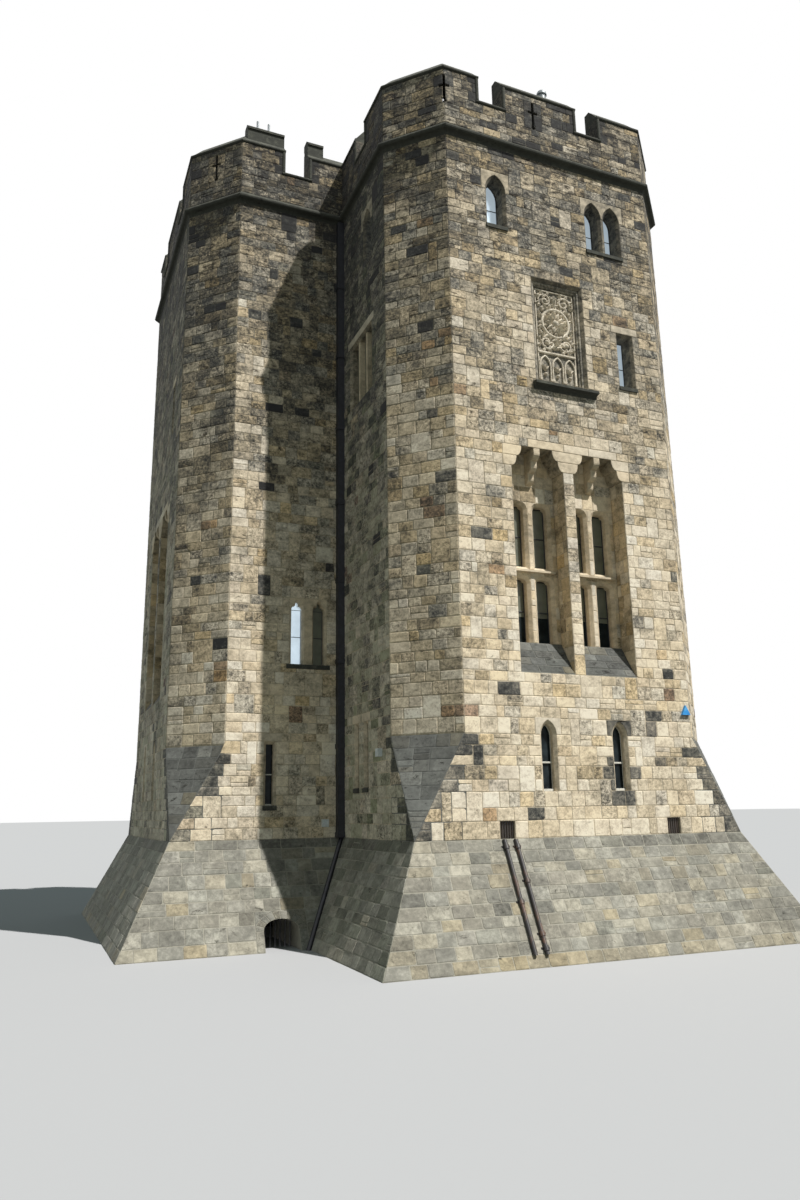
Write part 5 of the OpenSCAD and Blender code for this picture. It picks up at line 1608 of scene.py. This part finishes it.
class KEEP_OT_relief(bpy.types.Operator):
    """Carves the panel: a rosette between vine scrolls over a row of blind arches"""
    bl_idname = "keep.relief"
    bl_label = "Relief panel"

    def execute(self, context):
        of = face(FRONT)
        half, low, high = 0.70, PANEL_LOW + 0.06, PANEL_HIGH - 0.19
        middle = low + 2.16
        frame_in = [(MIDDLE - half, low), (MIDDLE + half, low), (MIDDLE + half, high),
                    (MIDDLE - half, high)]
        parts = [rod([of.at(x, PANEL_Y - 0.01, z) for x, z in frame_in], 0.032, True, 2)]
        for row in range(12):
            for k in range(7):
                x, z = MIDDLE + (k - 3) * 0.2 + (row % 2 - 0.5) * 0.06, low + 1.28 + row * 0.165
                if abs(x - MIDDLE) < half - 0.08 and z < high - 0.08:
                    parts.append(leaf(of, x, z, (row + k) % 3 * math.tau / 3 + 0.5, 0.17, 0.12, 0.06))
        parts += rosette(of, MIDDLE, middle, 0.5)
        for side in (-1, 1):
            parts += scroll(of, MIDDLE + side * 0.36, high - 0.36, side, 1)
            parts += scroll(of, MIDDLE + side * 0.36, middle - 0.73, -side, -1)
            for z in (middle - 0.32, middle + 0.32):
                parts.append(leaf(of, MIDDLE + side * 0.6, z, math.pi / 2, 0.24, 0.1))
        parts.append(leaf(of, MIDDLE, high - 0.3, math.pi / 2, 0.42, 0.16, 0.1))
        parts.append(block(of, MIDDLE - half, MIDDLE + half, PANEL_Y - 0.07, PANEL_Y, low + 1.02,
                           low + 1.1, 0.02))
        for k in (-1, 0, 1):
            parts += blind_arch(of, MIDDLE + k * 0.46, low + 0.08, 0.38, 0.86)
        finish_piece(join("relief_carving", parts), MATERIALS["carved"])
        return {"FINISHED"}


class KEEP_OT_metalwork(bpy.types.Operator):
    """Adds the collars of the pipes, the slats of the vents and the cowl of the roof flue"""
    bl_idname = "keep.metalwork"
    bl_label = "Metalwork"

    def execute(self, context):
        self.pipe_collars()
        self.vent_slats()
        self.flue_cowl()
        return {"FINISHED"}

    def pipe_collars(self):
        of = face(FRONT)
        batter = math.atan(SPREAD / PLINTH_TOP)
        parts = []
        for x, heights in ((MIDDLE - 2.815, (1.5, 2.85)), (MIDDLE - 2.465, (0.42, 0.75, 2.0, 2.85))):
            for z in heights:
                y = -SPREAD * (1 - z / PLINTH_TOP) - 0.055 / math.cos(batter)
                bpy.ops.mesh.primitive_cylinder_add(vertices=20, radius=0.074, depth=0.14,
                                                    location=of.at(x, y, z), rotation=(-batter, 0, 0))
                parts.append(ease_edges(bpy.context.object, 0.012, 2))
                parts.append(block(of, x - 0.12, x + 0.12, y + 0.03, y + 0.06, z - 0.03, z + 0.03,
                                   0.004))
        finish_piece(join("pipe_collars", parts), MATERIALS["rusty"])

    def vent_slats(self):
        parts = []
        for i in (FRONT, BACK):
            for x in VENT_XS:
                for k in range(6):
                    at = x - VENT_W / 2 + VENT_W * (k + 0.5) / 6
                    parts.append(block(face(i), at - 0.028, at + 0.028, 0.07, 0.09,
                                       PLINTH_TOP + 0.005, PLINTH_TOP + VENT_W - 0.005, 0.004))
        finish_piece(join("vent_slats", parts), MATERIALS["tarred"])

    def flue_cowl(self):
        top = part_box("roof_flues")[1].z
        x, y, _ = face(FRONT).at(*FLUE_AT, 0)
        bpy.ops.mesh.primitive_cylinder_add(vertices=32, radius=0.19, depth=0.07,
                                            location=(x, y, top - 0.2))
        parts = [ease_edges(bpy.context.object, 0.02, 3)]
        for k in range(3):
            bpy.ops.mesh.primitive_torus_add(location=(x, y, top - 0.55 - 0.9 * k),
                                             major_radius=0.152, minor_radius=0.012,
                                             major_segments=28, minor_segments=6)
            parts.append(bpy.context.object)
        finish_piece(join("flue_cowl", parts), MATERIALS["steel"])


class KEEP_OT_roof(bpy.types.Operator):
    """Covers the roof deck with lead bays between rolls"""
    bl_idname = "keep.roof"
    bl_label = "Lead roof"

    def execute(self, context):
        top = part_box("roof_deck")[1].z
        a, b = PARAPET_T + INNER_LEG, TOWER - PARAPET_T - INNER_LEG
        far = TOWER - PARAPET_T
        half = [(a, PARAPET_T), (b, PARAPET_T), (far, a), (far, b), (b, far),
                (TOWER - SIDE_STEP - PARAPET_T, far),
                (TOWER - SIDE_STEP - PARAPET_T, SET_BACK_BY + b)]
        ring = [(x - PLAN_MID[0], y - PLAN_MID[1]) for x, y in half]
        ring += [(-x, -y) for x, y in ring]
        parts, reach, pitch = [], 7.3, 0.68
        for k in range(int(2 * reach / pitch) + 1):
            x = -reach + k * pitch
            for y0, y1 in self.inside(ring, x):
                if y1 - y0 > 0.4:
                    parts.append(rod([(x, y0 + 0.05, top + 0.02), (x, y1 - 0.05, top + 0.02)],
                                     0.045, False, 2))
        finish_piece(join("lead_rolls", parts), MATERIALS["lead"])
        return {"FINISHED"}

    def inside(self, ring, x):
        """Stretches of the line at x that lie inside the ring."""
        hits = []
        for (ax, ay), (bx, by) in zip(ring, ring[1:] + ring[:1]):
            if (ax - x) * (bx - x) < 0:
                hits.append(ay + (by - ay) * (x - ax) / (bx - ax))
        hits.sort()
        return list(zip(hits[::2], hits[1::2]))


WHITE = (1.0, 1.0, 1.0, 1.0)
SKY, SUN_COLOUR = to_linear("#e0f1ee"), to_linear("#faf6f0")
TO_SUN, SUN_ANGLE = Vector((0.325, -0.49, 0.809)), math.radians(0.9)
# The camera stands low and looks up at the keep. Angles are in radians.
EYE, YAW, PITCH, ROLL = (-12.212, -30.019, 3.848), 0.399, 0.233, -0.016
FOCAL_PX, IMAGE_H_PX = 886.0, 1200.0
FLOOR_SIZE, FLOOR_GAP = 1200.0, 0.002


class KEEP_OT_stage(bpy.types.Operator):
    """Sets the floor, the lights and the camera"""
    bl_idname = "keep.stage"
    bl_label = "Stage"

    def execute(self, context):
        stage = context.scene.keep_stage
        self.floor(stage)
        self.light(context, stage)
        self.camera(context)
        return {"FINISHED"}

    def floor(self, stage):
        bpy.ops.object.select_all(action="DESELECT")
        bpy.ops.mesh.primitive_plane_add(size=FLOOR_SIZE, location=(0, 0, CAD_BOX[0][2] - FLOOR_GAP))
        floor = bpy.context.object
        floor.name = "stage_floor"
        material, tree = start_material("stage_floor")
        ray = add_node(tree, "LightPath").outputs
        bounced = add_node(tree, "Mix", {0: ray["Is Camera Ray"], 6: stage.bounce, 7: stage.floor},
                           data_type="RGBA", blend_type="MIX").outputs[2]
        seen = add_node(tree, "Math", [ray["Is Glossy Ray"], ray["Is Transmission Ray"]],
                        operation="MAXIMUM")
        diffuse = add_node(tree, "BsdfDiffuse", {"Color": bounced})
        white = add_node(tree, "Emission", {"Color": WHITE, "Strength": 0.8})
        mixed = add_node(tree, "MixShader", [seen, diffuse, white])
        add_node(tree, "OutputMaterial", {"Surface": mixed})
        floor.data.materials.append(material)

    def light(self, context, stage):
        world = bpy.data.worlds.new("Soft sky")
        context.scene.world = world
        world.use_nodes = True
        tree = world.node_tree
        tree.nodes.clear()
        ray = add_node(tree, "LightPath").outputs
        seen = add_node(tree, "Math", [ray["Is Glossy Ray"], ray["Is Transmission Ray"]],
                        operation="MAXIMUM")
        seen = add_node(tree, "Math", [ray["Is Camera Ray"], seen], operation="MAXIMUM")
        fill = add_node(tree, "Background", {"Color": SKY, "Strength": stage.fill})
        white = add_node(tree, "Background", {"Color": WHITE, "Strength": 1.0})
        mixed = add_node(tree, "MixShader", [seen, fill, white])
        add_node(tree, "OutputWorld", {"Surface": mixed})
        lamp = bpy.data.lights.new("Sun", "SUN")
        lamp.energy = stage.sun
        lamp.angle = SUN_ANGLE
        lamp.color = SUN_COLOUR[:3]
        sun = bpy.data.objects.new("Sun", lamp)
        context.scene.collection.objects.link(sun)
        sun.rotation_euler = TO_SUN.to_track_quat("Z", "Y").to_euler()
        sun.location = TO_SUN * 60

    def camera(self, context):
        lens = bpy.data.cameras.new("Camera")
        lens.sensor_fit = "VERTICAL"
        lens.sensor_height = 36.0
        lens.lens = FOCAL_PX * lens.sensor_height / IMAGE_H_PX
        lens.clip_end = 3000
        eye = bpy.data.objects.new("Camera", lens)
        context.scene.collection.objects.link(eye)
        ahead = Vector((math.sin(YAW) * math.cos(PITCH), math.cos(YAW) * math.cos(PITCH),
                        math.sin(PITCH)))
        level = Vector((math.cos(YAW), -math.sin(YAW), 0))
        up = level.cross(ahead)
        right = level * math.cos(ROLL) + up * math.sin(ROLL)
        top = up * math.cos(ROLL) - level * math.sin(ROLL)
        turn = Matrix((right, top, -ahead)).transposed()
        eye.matrix_world = Matrix.Translation(EYE) @ turn.to_4x4()
        context.scene.camera = eye


class KEEP_PT_panel(bpy.types.Panel):
    """Lists the pieces of the keep in the sidebar"""
    bl_idname = "KEEP_PT_panel"
    bl_label = "Castle keep"
    bl_space_type = "VIEW_3D"
    bl_region_type = "UI"
    bl_category = "Keep"

    def draw(self, context):
        scene = context.scene
        for group in (scene.keep_masonry, scene.keep_colours, scene.keep_stage):
            for key in group.__annotations__:
                self.layout.prop(group, key)
        for step in STEPS:
            self.layout.operator(step.bl_idname)


STEPS = (KEEP_OT_finishes, KEEP_OT_walls, KEEP_OT_plinth, KEEP_OT_corner_stops,
         KEEP_OT_battlements, KEEP_OT_window_heads, KEEP_OT_hall_niches, KEEP_OT_glazing,
         KEEP_OT_relief, KEEP_OT_metalwork, KEEP_OT_roof, KEEP_OT_stage)
GROUPS = {"keep_masonry": KeepMasonry, "keep_colours": KeepColours, "keep_stage": KeepStage}
CLASSES = (*GROUPS.values(), *STEPS, KEEP_PT_panel)


def register():
    for cls in CLASSES:
        bpy.utils.register_class(cls)
    for name, group in GROUPS.items():
        setattr(bpy.types.Scene, name, PointerProperty(type=group))


def unregister():
    for name in GROUPS:
        delattr(bpy.types.Scene, name)
    for cls in reversed(CLASSES):
        bpy.utils.unregister_class(cls)


def main():
    """Builds every piece in order."""
    register()
    bpy.context.scene.view_settings.view_transform = "Standard"
    for step in STEPS:
        group, name = step.bl_idname.split(".")
        getattr(getattr(bpy.ops, group), name)()


if __name__ == "__main__":
    main()
